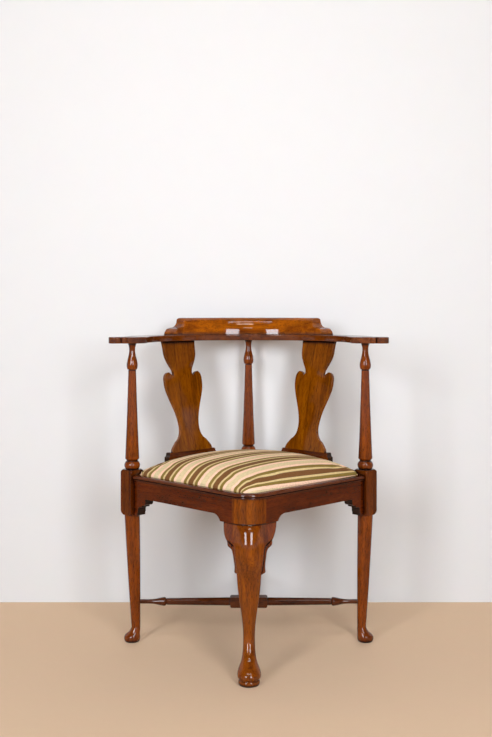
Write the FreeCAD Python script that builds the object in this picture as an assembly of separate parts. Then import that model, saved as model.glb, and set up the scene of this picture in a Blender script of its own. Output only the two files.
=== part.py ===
import FreeCAD, Part
import math
import os
from FreeCAD import Vector

# Corner chair: three turned posts and a cabriole front leg at the corners of a square
# seat that stands on one corner, a horseshoe arm with a raised crest, two pierced vase
# splats, crossed stretchers and a lift-out upholstered seat. Millimetres, Z up, the
# front corner towards -Y. Pieces on the right are made first and mirrored to the left.

# Plan
post_reach = 294.0          # centre of the seat to the axis of each post
glue_gap = 0.1              # clearance round every tenon, lap and screw

# Side and back posts
block_side = 41.0
block_above = 25.0          # from the top of the rails to the top of the block
block_below = 46.5          # from the bottom of the rails to the bottom of the block
block_top_rounding = 7.0    # height of the turned shoulder at the top of the block
block_bottom_rounding = 11.0
shoulder_radius = 22.0      # where the turned shoulders run out on the block's ends
shoulder_bulge = 1.2
turning_overlap = 3.0       # how far each turned stretch runs on into the block
ball_radius = 19.8
ball_height = 21.0
ball_seat_radius = 15.5
groove_radius = 14.3
groove_height = 1.5
column_base_radius = 17.8
column_base_bevel = 4.5
column_top_radius = 9.7
column_hollow = 0.6         # how far the column's taper is hollowed
vase_radius = 14.0
vase_height = 68.0          # bottom of the small vase to the arm
vase_foot_radius = 12.2
vase_neck_radius = 7.6
vase_top_radius = 11.8
post_tenon_radius = 7.0
post_tenon_length = 12.0
leg_top_radius = 19.3
leg_swell = 0.8             # how far the leg's taper is swollen at its middle
ankle_radius = 11.0
ankle_height = 36.0
ankle_set_in = 9.4          # ankle's centre from the post's axis, towards the seat's centre
foot_radius = 20.3
foot_height = 22.0
sole_radius = 17.0

# Front leg
stile_side = 54.9
stile_face = 11.0           # outer face of the stile and the rails, out from the post line
corner_rounding = 50.0
knee_drop = 15.5            # from the bottom of the rails to the top of the knee
knee_height = 114.0         # top of the knee to the end of its ears
calf_side = 49.0            # side of the leg's section at the end of the ears
# The knee from its top down to the end of its ears: depth as a share of its height, how far
# its faces stand out from the stile's, side, rounding of the front and of the other corners
knee_shape = ((0.0, 0.2, 56.5, 46.5, 5.0), (0.07, 1.4, 58.0, 38.0, 5.0),
              (0.125, 2.6, 58.7, 34.0, 6.0), (0.23, 4.7, 59.0, 30.5, 8.0),
              (0.34, 7.0, 57.8, 29.2, 10.0), (0.465, 8.3, 56.0, 28.5, 11.0),
              (0.58, 8.1, 54.5, 28.0, 12.0), (1.0, -5.0, calf_side, 27.5, 14.7))
shin_side = 38.0
shin_hollow = 2.0           # how far the shin falls back from a straight line
front_ankle_radius = 13.4
front_ankle_height = 98.0
front_ankle_set_in = 7.5    # front of the ankle, in from the circle of the posts
front_foot_out = 14.5       # middle of the front foot, out from it
front_foot_radius = 26.4
front_foot_height = 24.0    # where the foot is widest
foot_lip_height = 14.0
foot_lip_radius = 23.6
pad_height = 11.0
pad_radius = 24.2
pad_groove_radius = 22.4
# From the ankle down to the foot, as shares: height, swelling, and reach to the front
foot_shape = ((0.7, 0.02, 0.15), (0.53, 0.1, 0.3), (0.38, 0.25, 0.46), (0.26, 0.49, 0.64),
              (0.14, 0.8, 0.85))

# Ears beside the knee
ear_width = 28.0            # along the rail at the top
ear_thickness = 20.0
ear_set_back = 0.8          # its face, back from the knee's
ear_hidden = 3.0            # how far it starts inside the flat of the knee's face
scroll_depth = 50.0         # top of the ear to the middle of its scroll
scroll_inset = 8.0          # scroll's middle, in from the ear's outer edge
scroll_radius = 5.0
ear_tip_radius = 3.6

# Seat rails
rail_top = 409.0
rail_thickness = 26.0
rail_depth = 42.5
bracket_length = 44.0
bracket_depth = 44.0
bracket_foot = 13.0
drop_length = 39.9          # flat bottom of the rail beside the front leg
drop_hollow = 22.4          # length of the hollow from there up to the rail's bottom edge
tenon_thickness = 9.0
tenon_length = 15.0
stile_tenon_length = 22.0
tenon_height = 34.0
tenon_below_top = 4.0
tenon_set_out = 1.0         # tenon's middle, out from the post line

# Lip moulding round the top of the rails
lip_height = 12.5
lip_overhang = 5.5
lip_inside = 2.0            # inner edge of the lip, in from the post line
lip_rounding = 6.2
lip_inner_rounding = 1.0
lip_bead = 3.4
lip_quirk = 1.6

# Corner blocks and their screws
corner_block_leg = 62.0
front_block_leg = 92.0
corner_block_height = 32.0
corner_block_below = 6.0    # top of the block below the top of the rail
screw_radius = 2.0
screw_head_radius = 4.0
screw_head_height = 2.4
block_screw_length = 34.0
block_screw_depth = 14.3     # how deep its point goes into the rail
block_screw_stagger = 10.0   # height between a block's two screws
block_screw_place = 34.0    # screw from the corner where the rails' inner faces meet
front_screw_place = 62.0

# Stretchers
stretcher_height = 100.0
cross_block_length = 95.0
cross_block_side = 26.0
cross_block_rounding = 4.0
stretcher_radius = 10.0
stretcher_thin_radius = 8.3
stretcher_end_radius = 5.3
stretcher_tenon_length = 9.0
knop_radius = 10.8
knop_inset = 60.0           # thick of the knop from the leg
knop_length = 27.0
knop_shoulder = 6.0

# Arms
arm_underside = 751.5
arm_thickness = 16.0
arm_inside = 39.0           # from the posts' axes to the arm's inner edge
arm_outside = 28.0          # from the posts' axes to its outer edge
arm_edge_rounding = 2.0
arm_end_flare = 28.0        # how far the arm's end stands out past the outer edge
arm_end_front = 46.0        # foremost point of the arm's end
arm_end_radius = 19.0
arm_bead_radius = 7.2
arm_bead_depth = 6.2
arm_waist_radius = 70.0     # hollow of the outer edge between post and lobe
arm_notch_angle = 42.0      # notch between bead and lobe, round from the lobe's inner side
arm_inner_corner_out = 20.0  # end's inner corner, out from the inner edge
arm_corner_set_back = 8.0   # inner corner, back from the foremost point
arm_end_hollow = 2.0        # how far the end's edge is hollowed beside the bead
arm_lap = 60.0              # length of the half lap at the middle of the back

# Crest rail
crest_height = 46.0
crest_half_angle = 48.0
crest_end_angle = 9.6       # angle taken up by the shaping at each end
crest_arris = 7.0           # rounding at the top of the end
crest_cove_below = 11.5     # from the top down to the start of the cove
crest_cove_length = 17.5
crest_cove_height = 19.3    # bottom of the cove above the arm
crest_nose_height = 16.5
crest_nose_length = 9.7
crest_foot_set_in = 2.8
crest_inset = 11.0          # foot of the face, out from the arm's inner edge
crest_back_inset = 10.0     # foot of the back, in from the arm's outer edge
crest_roll_height = 12.5    # rounded front edge of the top
crest_roll_depth = 16.0
crest_back_radius = 7.0
crest_lean = 8.0            # how far the roll's foot stands back from the foot of the face
crest_back_lean = 6.0
crest_screw_angles = (14.0, 33.0)
crest_screw_length = 34.0
crest_screw_recess = 0.5

# Splats and shoes. Widths are whole widths, heights are along the leaning board
splat_thickness = 9.0
splat_foot_out = 5.8         # splat's middle plane, out from the post line at its foot
splat_head_inset = 16.0      # and out from the arm's inner edge at its head
splat_top_width = 115.0
splat_shoulder_width = 106.0
splat_shoulder_below = 40.0  # below the arm
splat_neck_width = 64.5
splat_neck_below = 86.0
splat_notch_below = 96.0     # bottom of the notch between neck and lobe
splat_notch_reach = 3.0
splat_lobe_width = 130.0
splat_lobe_below = 107.0
splat_lobe_tip_below = 84.6
splat_lobe_tip_inset = 13.5  # in from the lobe's widest
splat_waist_width = 65.0
splat_waist_above = 64.0     # above the shoe
splat_cusp_width = 109.0
splat_cusp_above = 24.0
splat_cusp_step = 3.0
splat_base_width = 139.0
splat_tenon_width = 60.0
splat_tenon_thickness = 5.0
splat_tenon_length = 10.0
shoe_height = 40.0
shoe_depth = 19.0
shoe_gap = 0.3               # between the shoe and the lift-out seat's side of the lip
shoe_width = 172.0
shoe_top_width = 158.0
shoe_cove = 11.0
shoe_front_cove = 3.0
shoe_fillet = 2.0            # flat above and beside the cove

# Lift-out seat
seat_gap = 2.0               # between the covered seat and the lip or the posts
seat_rest_gap = 0.3
cover_thickness = 1.5
seat_member_width = 46.0
seat_member_thickness = 14.0
seat_crown = 49.5            # middle of the seat above the lip
seat_dome_radius = 1100.0
seat_edge_roll = 28.0
seat_edge_rise = 32.0
seat_edge_start = 4.0        # where the roll starts, above the lip
web_width = 50.0
web_thickness = 1.5
web_inset = 12.0
web_count = 3
hessian_thickness = 0.8
hessian_inset = 9.0
dust_cover_thickness = 0.6
dust_cover_inset = 19.0
tack_radius = 0.9
tack_head_radius = 3.0
tack_head_height = 0.8
tack_length = 9.0
tacks_per_side = 4

# Worked out from the sizes above
half = post_reach / math.sqrt(2)
rail_bottom = rail_top - rail_depth
block_top = rail_top + block_above
block_bottom = rail_bottom - block_below
knee_top = rail_bottom - knee_drop
rail_face = half + stile_face
rail_inside = rail_face - rail_thickness
rail_end = half - block_side / 2
stile_inside = rail_face - stile_side
lip_top = rail_top + lip_height
arm_top = arm_underside + arm_thickness
arm_inner_radius = post_reach - arm_inside
arm_outer_radius = post_reach + arm_outside
arm_end_reach = arm_outer_radius + arm_end_flare
crest_inner_radius = arm_inner_radius + crest_inset
crest_outer_radius = arm_outer_radius - crest_back_inset
crest_top = arm_top + crest_height
shoe_bottom = lip_top
shoe_top = lip_top + shoe_height
seat_bottom = rail_top + seat_rest_gap
seat_half = half - lip_inside - seat_gap
seat_notch = half - block_side / 2 - seat_gap
splat_base_distance = half + splat_foot_out
splat_rake = arm_inner_radius + splat_head_inset - splat_base_distance
front_ankle_reach = post_reach - front_ankle_set_in
front_foot_reach = post_reach + front_foot_out
centre_shift = (front_foot_reach + front_foot_radius - arm_outer_radius) / 2

nodes = {}


def box(x0, x1, y0, y1, z0, z1):
    return Part.makeBox(x1 - x0, y1 - y0, z1 - z0, Vector(x0, y0, z0))


def turned(shape, degrees):
    copy = shape.copy()
    copy.rotate(Vector(0, 0, 0), Vector(0, 0, 1), degrees)
    return copy


def moved(shape, x, y, z=0.0):
    copy = shape.copy()
    copy.translate(Vector(x, y, z))
    return copy


def mirrored(shape):
    return shape.mirror(Vector(0, 0, 0), Vector(1, 0, 0))


def line(a, b):
    return Part.makeLine(a, b)


def arc(a, b, c):
    return Part.Arc(a, b, c).toShape()


def spline(points):
    curve = Part.BSplineCurve()
    curve.interpolate(points)
    return curve.toShape()


def joined_face(edges):
    return Part.Face(Part.Wire(Part.sortEdges(edges)[0]))


def polygon_face(points):
    return Part.Face(Part.makePolygon(points + [points[0]]))


def spun(edges):
    # closes an outline drawn in the XZ plane on the axis and spins it about Z
    start = edges[0].firstVertex().Point
    end = edges[-1].lastVertex().Point
    low = Vector(0, 0, start.z)
    high = Vector(0, 0, end.z)
    face = joined_face([line(low, start)] + edges + [line(end, high), line(high, low)])
    return face.revolve(Vector(0, 0, 0), Vector(0, 0, 1), 360)


def profile(x, z):
    return Vector(x, 0, z)


# Rails are drawn along X with the outer face towards -Y. Turned by 45 degrees this is the
# front right rail, its left end at the front leg; turned by 135 it is the back right rail.
def front_right(shape):
    return turned(shape, 45)


def back_right(shape):
    return turned(shape, 135)


# A tenon on a rail's left end, in the stile, or on its right end, in a post. Grown by the
# glue gap it is the mortise.
def tenon(at_stile, grow):
    if at_stile:
        x0 = -stile_inside - stile_tenon_length - grow
        x1 = -stile_inside
    else:
        x0 = rail_end
        x1 = rail_end + tenon_length + grow
    top = rail_top - tenon_below_top
    middle = -half - tenon_set_out
    y0 = middle - tenon_thickness / 2 - grow
    y1 = middle + tenon_thickness / 2 + grow
    return box(x0, x1, y0, y1, top - tenon_height - grow, top + grow)


def back_tenons(grow):
    return [tenon(False, grow), mirrored(tenon(False, grow))]


def all_tenons(grow):
    right = [front_right(tenon(True, grow)), front_right(tenon(False, grow))]
    right += [back_right(t) for t in back_tenons(grow)]
    return Part.makeCompound(right + [mirrored(t) for t in right])


# Outline of a front rail, seen from the front. Beside the front leg it is deeper, with a
# hollow up to its bottom edge, and beside the post it has a bracket of steps and coves.
def front_rail_outline():
    left = -stile_inside
    rise = rail_bottom - knee_top
    hollow_radius = (drop_hollow ** 2 + rise ** 2) / (2 * rise)
    hollow_end = left + drop_length + drop_hollow
    turn = math.asin(drop_hollow / hollow_radius) / 2
    hollow_mid = profile(hollow_end - hollow_radius * math.sin(turn),
                         rail_bottom - hollow_radius * (1 - math.cos(turn)))
    x0 = rail_end - bracket_length
    x1 = rail_end - bracket_foot
    step = bracket_depth / 7
    shelf = x0 + 2.2 * step
    corners = [
        profile(x0, rail_bottom),
        profile(x0, rail_bottom - step),
        profile(shelf - 0.4 * step, rail_bottom - 2.6 * step),
        profile(shelf, rail_bottom - 2.6 * step),
        profile(shelf, rail_bottom - 3.4 * step),
        profile(shelf + 0.8 * step, rail_bottom - 3.4 * step),
        profile(x1 - 0.3 * step, rail_bottom - 5 * step),
        profile(x1 - 0.3 * step, rail_bottom - 5.8 * step),
        profile(x1, rail_bottom - 5.8 * step),
        profile(x1, rail_bottom - bracket_depth),
        profile(rail_end, rail_bottom - bracket_depth),
        profile(rail_end, rail_top),
        profile(left, rail_top),
        profile(left, knee_top),
        profile(left + drop_length, knee_top),
    ]
    coves = {
        1: profile(x0 + 0.35 * step, rail_bottom - 2.15 * step),
        5: profile(x1 - 0.75 * step, rail_bottom - 3.75 * step),
    }
    edges = []
    for i, (a, b) in enumerate(zip(corners, corners[1:])):
        edges.append(arc(a, coves[i], b) if i in coves else line(a, b))
    edges.append(arc(corners[-1], hollow_mid, profile(hollow_end, rail_bottom)))
    edges.append(line(profile(hollow_end, rail_bottom), corners[0]))
    return edges


def make_rails(screws):
    plate = joined_face(front_rail_outline()).extrude(Vector(0, rail_thickness, 0))
    front = moved(plate, 0, -rail_face).fuse([tenon(True, 0), tenon(False, 0)])
    back = box(-rail_end, rail_end, -rail_face, -rail_inside, rail_bottom, rail_top)
    back = back.fuse(back_tenons(0))
    right = {
        "front": front_right(front.removeSplitter()),
        "back": back_right(back.removeSplitter()),
    }
    for name, rail in right.items():
        nodes["seat_rail_" + name + "_right"] = rail.cut(screws)
        nodes["seat_rail_" + name + "_left"] = mirrored(rail).cut(screws)


# The lip's section, x outwards from the post line and z up from the top of the rail: a
# bead, a quirk above it and a wide rounded edge
def lip_section():
    out = stile_face + lip_overhang
    bead_x = out - lip_quirk - lip_bead / 2
    quirk_x = bead_x - lip_quirk
    quirk_top = lip_bead + lip_quirk
    inside = -lip_inside
    r = lip_rounding
    s = lip_inner_rounding
    near = 1 - 1 / math.sqrt(2)
    foot = profile(inside, 0)
    edge_low = profile(out, lip_height - r)
    edge_high = profile(out - r, lip_height)
    back_high = profile(inside + s, lip_height)
    back_low = profile(inside, lip_height - s)
    steps = [profile(bead_x, lip_bead), profile(quirk_x, lip_bead), profile(quirk_x, quirk_top),
             profile(out, quirk_top), edge_low]
    edges = [
        line(foot, profile(bead_x, 0)),
        arc(profile(bead_x, 0), profile(bead_x + lip_bead / 2, lip_bead / 2), steps[0]),
    ]
    edges += [line(a, b) for a, b in zip(steps, steps[1:])]
    edges += [
        arc(edge_low, profile(out - near * r, lip_height - near * r), edge_high),
        line(edge_high, back_high),
        arc(back_high, profile(inside + near * s, lip_height - near * s), back_low),
        line(back_low, foot),
    ]
    return edges


def make_lips():
    turn_x = -rail_face + corner_rounding
    section = joined_face(lip_section())
    section.rotate(Vector(0, 0, 0), Vector(0, 0, 1), -90)
    straight = moved(section, turn_x, -half, rail_top).extrude(Vector(rail_end - turn_x, 0, 0))
    corner = moved(section, turn_x, -half, rail_top)
    corner = corner.revolve(Vector(turn_x, turn_x, rail_top), Vector(0, 0, 1), -45)
    front = front_right(straight.fuse(corner).removeSplitter())
    back = moved(section, -rail_end, -half, rail_top).extrude(Vector(2 * rail_end, 0, 0))
    for name, lip in (("front", front), ("back", back_right(back))):
        nodes["lip_moulding_" + name + "_right"] = lip
        nodes["lip_moulding_" + name + "_left"] = mirrored(lip)


def column_edges():
    base = block_top
    ball_top = base + ball_height
    foot = ball_top + groove_height
    bevel = foot + column_base_bevel
    vase = arm_underside - vase_height
    middle = (bevel + vase) / 2
    hollow = (column_base_radius + column_top_radius) / 2 - column_hollow
    rise = vase_height
    vase_points = [
        profile(vase_foot_radius, vase + 2),
        profile(vase_radius, vase + 0.2 * rise),
        profile(0.92 * vase_radius, vase + 0.32 * rise),
        profile((vase_radius + vase_neck_radius) / 2.2, vase + 0.5 * rise),
        profile(vase_neck_radius, vase + 0.72 * rise),
        profile(1.12 * vase_neck_radius, vase + 0.88 * rise),
        profile(vase_top_radius, arm_underside),
    ]
    start = profile(ball_seat_radius, base - turning_overlap)
    tenon_top = arm_underside + post_tenon_length
    return [
        line(start, profile(ball_seat_radius, base)),
        arc(profile(ball_seat_radius, base), profile(ball_radius, base + ball_height / 2),
            profile(groove_radius, ball_top)),
        line(profile(groove_radius, ball_top), profile(groove_radius, foot)),
        line(profile(groove_radius, foot), profile(column_base_radius, bevel)),
        arc(profile(column_base_radius, bevel), profile(hollow, middle),
            profile(column_top_radius, vase)),
        line(profile(column_top_radius, vase), profile(column_top_radius, vase + 1)),
        line(profile(column_top_radius, vase + 1), vase_points[0]),
        spline(vase_points),
        line(vase_points[-1], profile(post_tenon_radius, arm_underside)),
        line(profile(post_tenon_radius, arm_underside), profile(post_tenon_radius, tenon_top)),
    ]


def block():
    s = block_side / 2
    corner = s * math.sqrt(2)
    square = turned(box(-s, s, -s, s, block_bottom, block_top), 45)
    low = block_bottom + block_bottom_rounding
    high = block_top - block_top_rounding
    between = (shoulder_radius + corner) / 2
    edges = [
        arc(profile(shoulder_radius, block_bottom),
            profile(between + shoulder_bulge, block_bottom + 0.4 * block_bottom_rounding),
            profile(corner, low)),
        line(profile(corner, low), profile(corner, high)),
        arc(profile(corner, high),
            profile(between + shoulder_bulge, block_top - 0.4 * block_top_rounding),
            profile(shoulder_radius, block_top)),
    ]
    return square.common(spun(edges))


def ring(radius, y, z):
    return Part.Wire(Part.makeCircle(radius, Vector(0, y, z), Vector(0, 0, 1)))


# Below the block the leg tapers on an axis of its own, which leans in towards the seat.
# This gives that axis's distance from the post's and the leg's radius, at a height.
def taper(z):
    share = (block_bottom - z) / (block_bottom - ankle_height)
    swell = leg_swell * 4 * share * (1 - share)
    return ankle_set_in * share, leg_top_radius + (ankle_radius - leg_top_radius) * share + swell


# The foot comes back out under the post. Inwards is -Y here.
def turned_leg():
    top = block_bottom + turning_overlap
    wires = []
    for share in (0.0, 0.25, 0.5, 0.75, 1.0):
        z = top + (ankle_height - top) * share
        inwards, radius = taper(z)
        wires.append(ring(radius, -inwards, z))
    shaft = Part.makeLoft(wires, True, False)
    foot = [
        ring(ankle_radius, -ankle_set_in, ankle_height),
        ring(ankle_radius * 1.12, -0.9 * ankle_set_in, (ankle_height * 2 + foot_height) / 3),
        ring((ankle_radius + foot_radius) / 2, -0.48 * ankle_set_in, foot_height),
        ring(foot_radius * 0.94, -0.1 * ankle_set_in, 0.72 * foot_height),
        ring(foot_radius, 0, 0.45 * foot_height),
        ring(foot_radius * 0.96, 0, 0.18 * foot_height),
        ring(sole_radius, 0, 0),
    ]
    return shaft.fuse(Part.makeLoft(foot, True, False))


def make_posts(stretchers, screws):
    post = spun(column_edges()).fuse([block(), turned_leg()]).removeSplitter()
    mortises = all_tenons(glue_gap)
    places = {"back": moved(post, 0, post_reach), "right": moved(turned(post, -90), post_reach, 0)}
    places["left"] = mirrored(places["right"])
    for name, shape in places.items():
        nodes["post_" + name] = shape.cut([mortises, stretchers, screws])


def rounded_square(side, middle, front_radius, other_radius, z):
    # a square with one corner towards -Y, its faces parallel to the rails
    a = side / 2
    radii = [front_radius, other_radius, other_radius, other_radius]
    corners = [(-a, -a), (a, -a), (a, a), (-a, a)]
    ways = [(1, 0), (0, 1), (-1, 0), (0, -1)]
    edges = []
    for i in range(4):
        r = radii[i]
        cx, cy = corners[i]
        wx, wy = ways[i]
        bx, by = ways[i - 1]
        begin = Vector(cx - bx * r, cy - by * r, z)
        end = Vector(cx + wx * r, cy + wy * r, z)
        near = (1 - 1 / math.sqrt(2)) * r
        mid = Vector(cx + (wx - bx) * near, cy + (wy - by) * near, z)
        nx, ny = corners[(i + 1) % 4]
        after = radii[(i + 1) % 4]
        edges.append(arc(begin, mid, end))
        edges.append(line(end, Vector(nx - wx * after, ny - wy * after, z)))
    wire = Part.Wire(edges)
    wire.rotate(Vector(0, 0, 0), Vector(0, 0, 1), 45)
    wire.translate(Vector(0, -middle, 0))
    return wire


def square_middle(face_distance, side):
    return (face_distance - side / 2) * math.sqrt(2)


# Sections of the front leg from the knee to the foot: height, side, reach of the middle
# from the seat's centre, front and other corner radii
def leg_sections():
    ankle = 2 * front_ankle_radius
    foot = 2 * front_foot_radius
    sections = []
    for depth, proud, side, front_radius, other_radius in knee_shape:
        sections.append((knee_top - depth * knee_height, side,
                         square_middle(rail_face + proud, side), front_radius, other_radius))
    ears_end, _, calf_middle, _, _ = sections[-1]
    shin_height = (ears_end + front_ankle_height) / 2
    ankle_middle = front_ankle_reach - front_ankle_radius
    shin_middle = (calf_middle + ankle_middle) / 2 - shin_hollow
    low_shin = ankle + 0.38 * (shin_side - ankle)
    low_shin_middle = ankle_middle - 0.22 * (ankle_middle - shin_middle)
    sections += [
        (shin_height, shin_side, shin_middle, 0.54 * shin_side, 0.375 * shin_side),
        ((shin_height + front_ankle_height) / 2, low_shin, low_shin_middle,
         0.49 * low_shin, 0.47 * low_shin),
        (front_ankle_height, ankle, ankle_middle, 0.49 * ankle, 0.49 * ankle),
    ]
    for height, swelling, reach in foot_shape + ((0, 1, 1),):
        z = front_foot_height + height * (front_ankle_height - front_foot_height)
        side = ankle + swelling * (foot - ankle)
        middle = ankle_middle + reach * (front_foot_reach - ankle_middle)
        sections.append((z, side, middle, 0.49 * side, 0.49 * side))
    lip = 2 * foot_lip_radius
    sections.append((foot_lip_height, lip, front_foot_reach, 0.49 * lip, 0.49 * lip))
    return sections


def cabriole():
    wires = []
    for z, side, middle, front_radius, other_radius in leg_sections():
        wires.append(rounded_square(side, middle, front_radius, other_radius, z))
    return Part.makeLoft(wires, True, False)


def stile():
    outer = -rail_face
    inner = -stile_inside
    r = corner_rounding
    near = outer + (1 - 1 / math.sqrt(2)) * r
    z = knee_top
    edges = [
        line(Vector(inner, outer, z), Vector(inner, inner, z)),
        line(Vector(inner, inner, z), Vector(outer, inner, z)),
        line(Vector(outer, inner, z), Vector(outer, outer + r, z)),
        arc(Vector(outer, outer + r, z), Vector(near, near, z), Vector(outer + r, outer, z)),
        line(Vector(outer + r, outer, z), Vector(inner, outer, z)),
    ]
    return turned(joined_face(edges).extrude(Vector(0, 0, rail_top - knee_top)), 45)


def foot_pad():
    edges = [
        line(profile(pad_radius - 2, 0), profile(pad_radius - 2, 0.5)),
        arc(profile(pad_radius - 2, 0.5), profile(pad_radius, pad_height / 2),
            profile(pad_radius - 1, pad_height)),
        line(profile(pad_radius - 1, pad_height), profile(pad_groove_radius, pad_height)),
        line(profile(pad_groove_radius, pad_height), profile(pad_groove_radius, foot_lip_height + 1)),
    ]
    return moved(spun(edges), 0, -front_foot_reach)


def make_front_leg(stretchers, screws):
    leg = stile().fuse([cabriole(), foot_pad()]).removeSplitter()
    nodes["front_leg"] = leg.cut([all_tenons(glue_gap), stretchers, screws])


# Each ear carries the knee's face on along the rail. Its outline is drawn as seen from
# the front, and its front face leans back with the leg.
def make_ears():
    bars = []
    for z, side, middle, front_radius, other_radius in leg_sections()[:len(knee_shape) + 1]:
        centre = -middle / math.sqrt(2)
        face = centre - side / 2 + ear_set_back
        back = face + ear_thickness
        left = centre + side / 2 - other_radius - ear_hidden
        bars.append(Part.makePolygon([
            Vector(left, face, z), Vector(half, face, z), Vector(half, back, z),
            Vector(left, back, z), Vector(left, face, z),
        ]))
    slab = front_right(Part.makeLoft(bars, True, True))
    across = math.sqrt(2)
    outer = stile_side / across + ear_width / across
    scroll_x = outer - scroll_inset
    scroll_z = knee_top - scroll_depth
    tip_z = knee_top - knee_height + ear_tip_radius
    tip_x = calf_side / across + 1.5
    p = [
        Vector(0, 0, knee_top),
        Vector(outer, 0, knee_top),
        Vector(outer - 2.2, 0, knee_top - 0.4 * scroll_depth),
        Vector(scroll_x - 1.5, 0, scroll_z + scroll_radius),
        Vector(scroll_x - 2, 0, scroll_z - scroll_radius),
        Vector(tip_x + 3.5, 0, scroll_z - 3.4 * scroll_radius),
        Vector(tip_x - 0.6, 0, tip_z + 3 * ear_tip_radius),
        Vector(tip_x - 1, 0, tip_z + ear_tip_radius),
        Vector(tip_x - 1, 0, tip_z - ear_tip_radius),
        Vector(0, 0, tip_z - ear_tip_radius),
    ]
    edges = [
        line(p[0], p[1]),
        arc(p[1], p[2], p[3]),
        arc(p[3], Vector(scroll_x + 1.2, 0, scroll_z), p[4]),
        line(p[4], p[5]),
        arc(p[5], Vector((p[5].x + p[6].x) / 2 - 0.9, 0, (p[5].z + p[6].z) / 2), p[6]),
        line(p[6], p[7]),
        arc(p[7], Vector(tip_x + ear_tip_radius * 0.5, 0, tip_z), p[8]),
        line(p[8], p[9]),
        line(p[9], p[0]),
    ]
    outline = moved(joined_face(edges), 0, -post_reach - stile_side)
    outline = outline.extrude(Vector(0, 3 * stile_side, 0))
    ear = slab.common(outline).cut(nodes["front_leg"])
    ear = max(ear.Solids, key=lambda solid: solid.Volume)
    nodes["knee_ear_right"] = ear
    nodes["knee_ear_left"] = mirrored(ear)


# A stretcher is spun about Z and then laid along X: x is the distance from its middle
def stretcher_half(length):
    thick = length - knop_inset
    shoulder = thick - knop_shoulder
    start = cross_block_length / 2 - 3
    waist = length - knop_inset + knop_length
    return [
        line(profile(stretcher_radius, start), profile(stretcher_radius, start + 8)),
        line(profile(stretcher_radius, start + 8), profile(stretcher_thin_radius, shoulder - 2)),
        line(profile(stretcher_thin_radius, shoulder - 2), profile(stretcher_thin_radius - 1, shoulder)),
        arc(profile(stretcher_thin_radius - 1, shoulder),
            profile(knop_radius - 0.7, shoulder + knop_shoulder / 2.5),
            profile(knop_radius, thick)),
        spline([
            profile(knop_radius, thick),
            profile(knop_radius - 1.6, thick + 0.35 * knop_length),
            profile(stretcher_end_radius + 0.6, waist),
            profile(stretcher_end_radius, (waist + length) / 2),
            profile(stretcher_end_radius + 0.2, length),
        ]),
        line(profile(stretcher_end_radius + 0.2, length),
             profile(stretcher_end_radius, length + stretcher_tenon_length)),
    ]


def stretcher_block():
    s = cross_block_side / 2
    e = cross_block_length / 2
    corner = s * math.sqrt(2)
    square = turned(box(-s, s, -s, s, -e, e), 45)
    square = turned(square, 45)
    r = cross_block_rounding
    edges = [
        arc(profile(s * 0.75, -e), profile(s * 1.1, -e + 0.25 * r), profile(corner, -e + r)),
        line(profile(corner, -e + r), profile(corner, e - r)),
        arc(profile(corner, e - r), profile(s * 1.1, e - 0.25 * r), profile(s * 0.75, e)),
    ]
    return square.common(spun(edges))


def stretcher(right_length, left_length):
    one = spun(stretcher_half(right_length))
    other = spun(stretcher_half(left_length))
    other = other.mirror(Vector(0, 0, 0), Vector(0, 0, 1))
    bar = one.fuse([other, stretcher_block()]).removeSplitter()
    bar.rotate(Vector(0, 0, 0), Vector(0, 1, 0), 90)
    bar.translate(Vector(0, 0, stretcher_height))
    return bar


def leg_inner_face(z):
    inwards, radius = taper(z)
    return post_reach - inwards - radius


# The two stretchers cross in a half lap: the one from side to side keeps its upper half
def make_stretchers():
    side_length = leg_inner_face(stretcher_height) + 0.5
    front_length = front_ankle_reach - 2 * front_ankle_radius + 0.5
    side = stretcher(side_length, side_length)
    long = turned(stretcher(front_length, side_length), -90)
    s = cross_block_side / 2
    wide = s + glue_gap
    upper = box(-wide, wide, -wide, wide, stretcher_height, stretcher_height + cross_block_side)
    lower = box(-wide, wide, -wide, wide, stretcher_height - cross_block_side, stretcher_height)
    nodes["side_stretcher"] = side.cut(lower)
    nodes["long_stretcher"] = long.cut(upper)
    grown = []
    for angle in (0, 90, 180, 270):
        hole = Part.makeCylinder(stretcher_end_radius + 0.2 + glue_gap,
                                 post_reach, Vector(0, 0, stretcher_height), Vector(1, 0, 0))
        keep = front_length if angle == 270 else side_length
        reach = keep + stretcher_tenon_length + glue_gap
        hole = hole.common(box(100, reach, -20, 20, 0, 2 * stretcher_height))
        grown.append(turned(hole, angle))
    return Part.makeCompound(grown)


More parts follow.
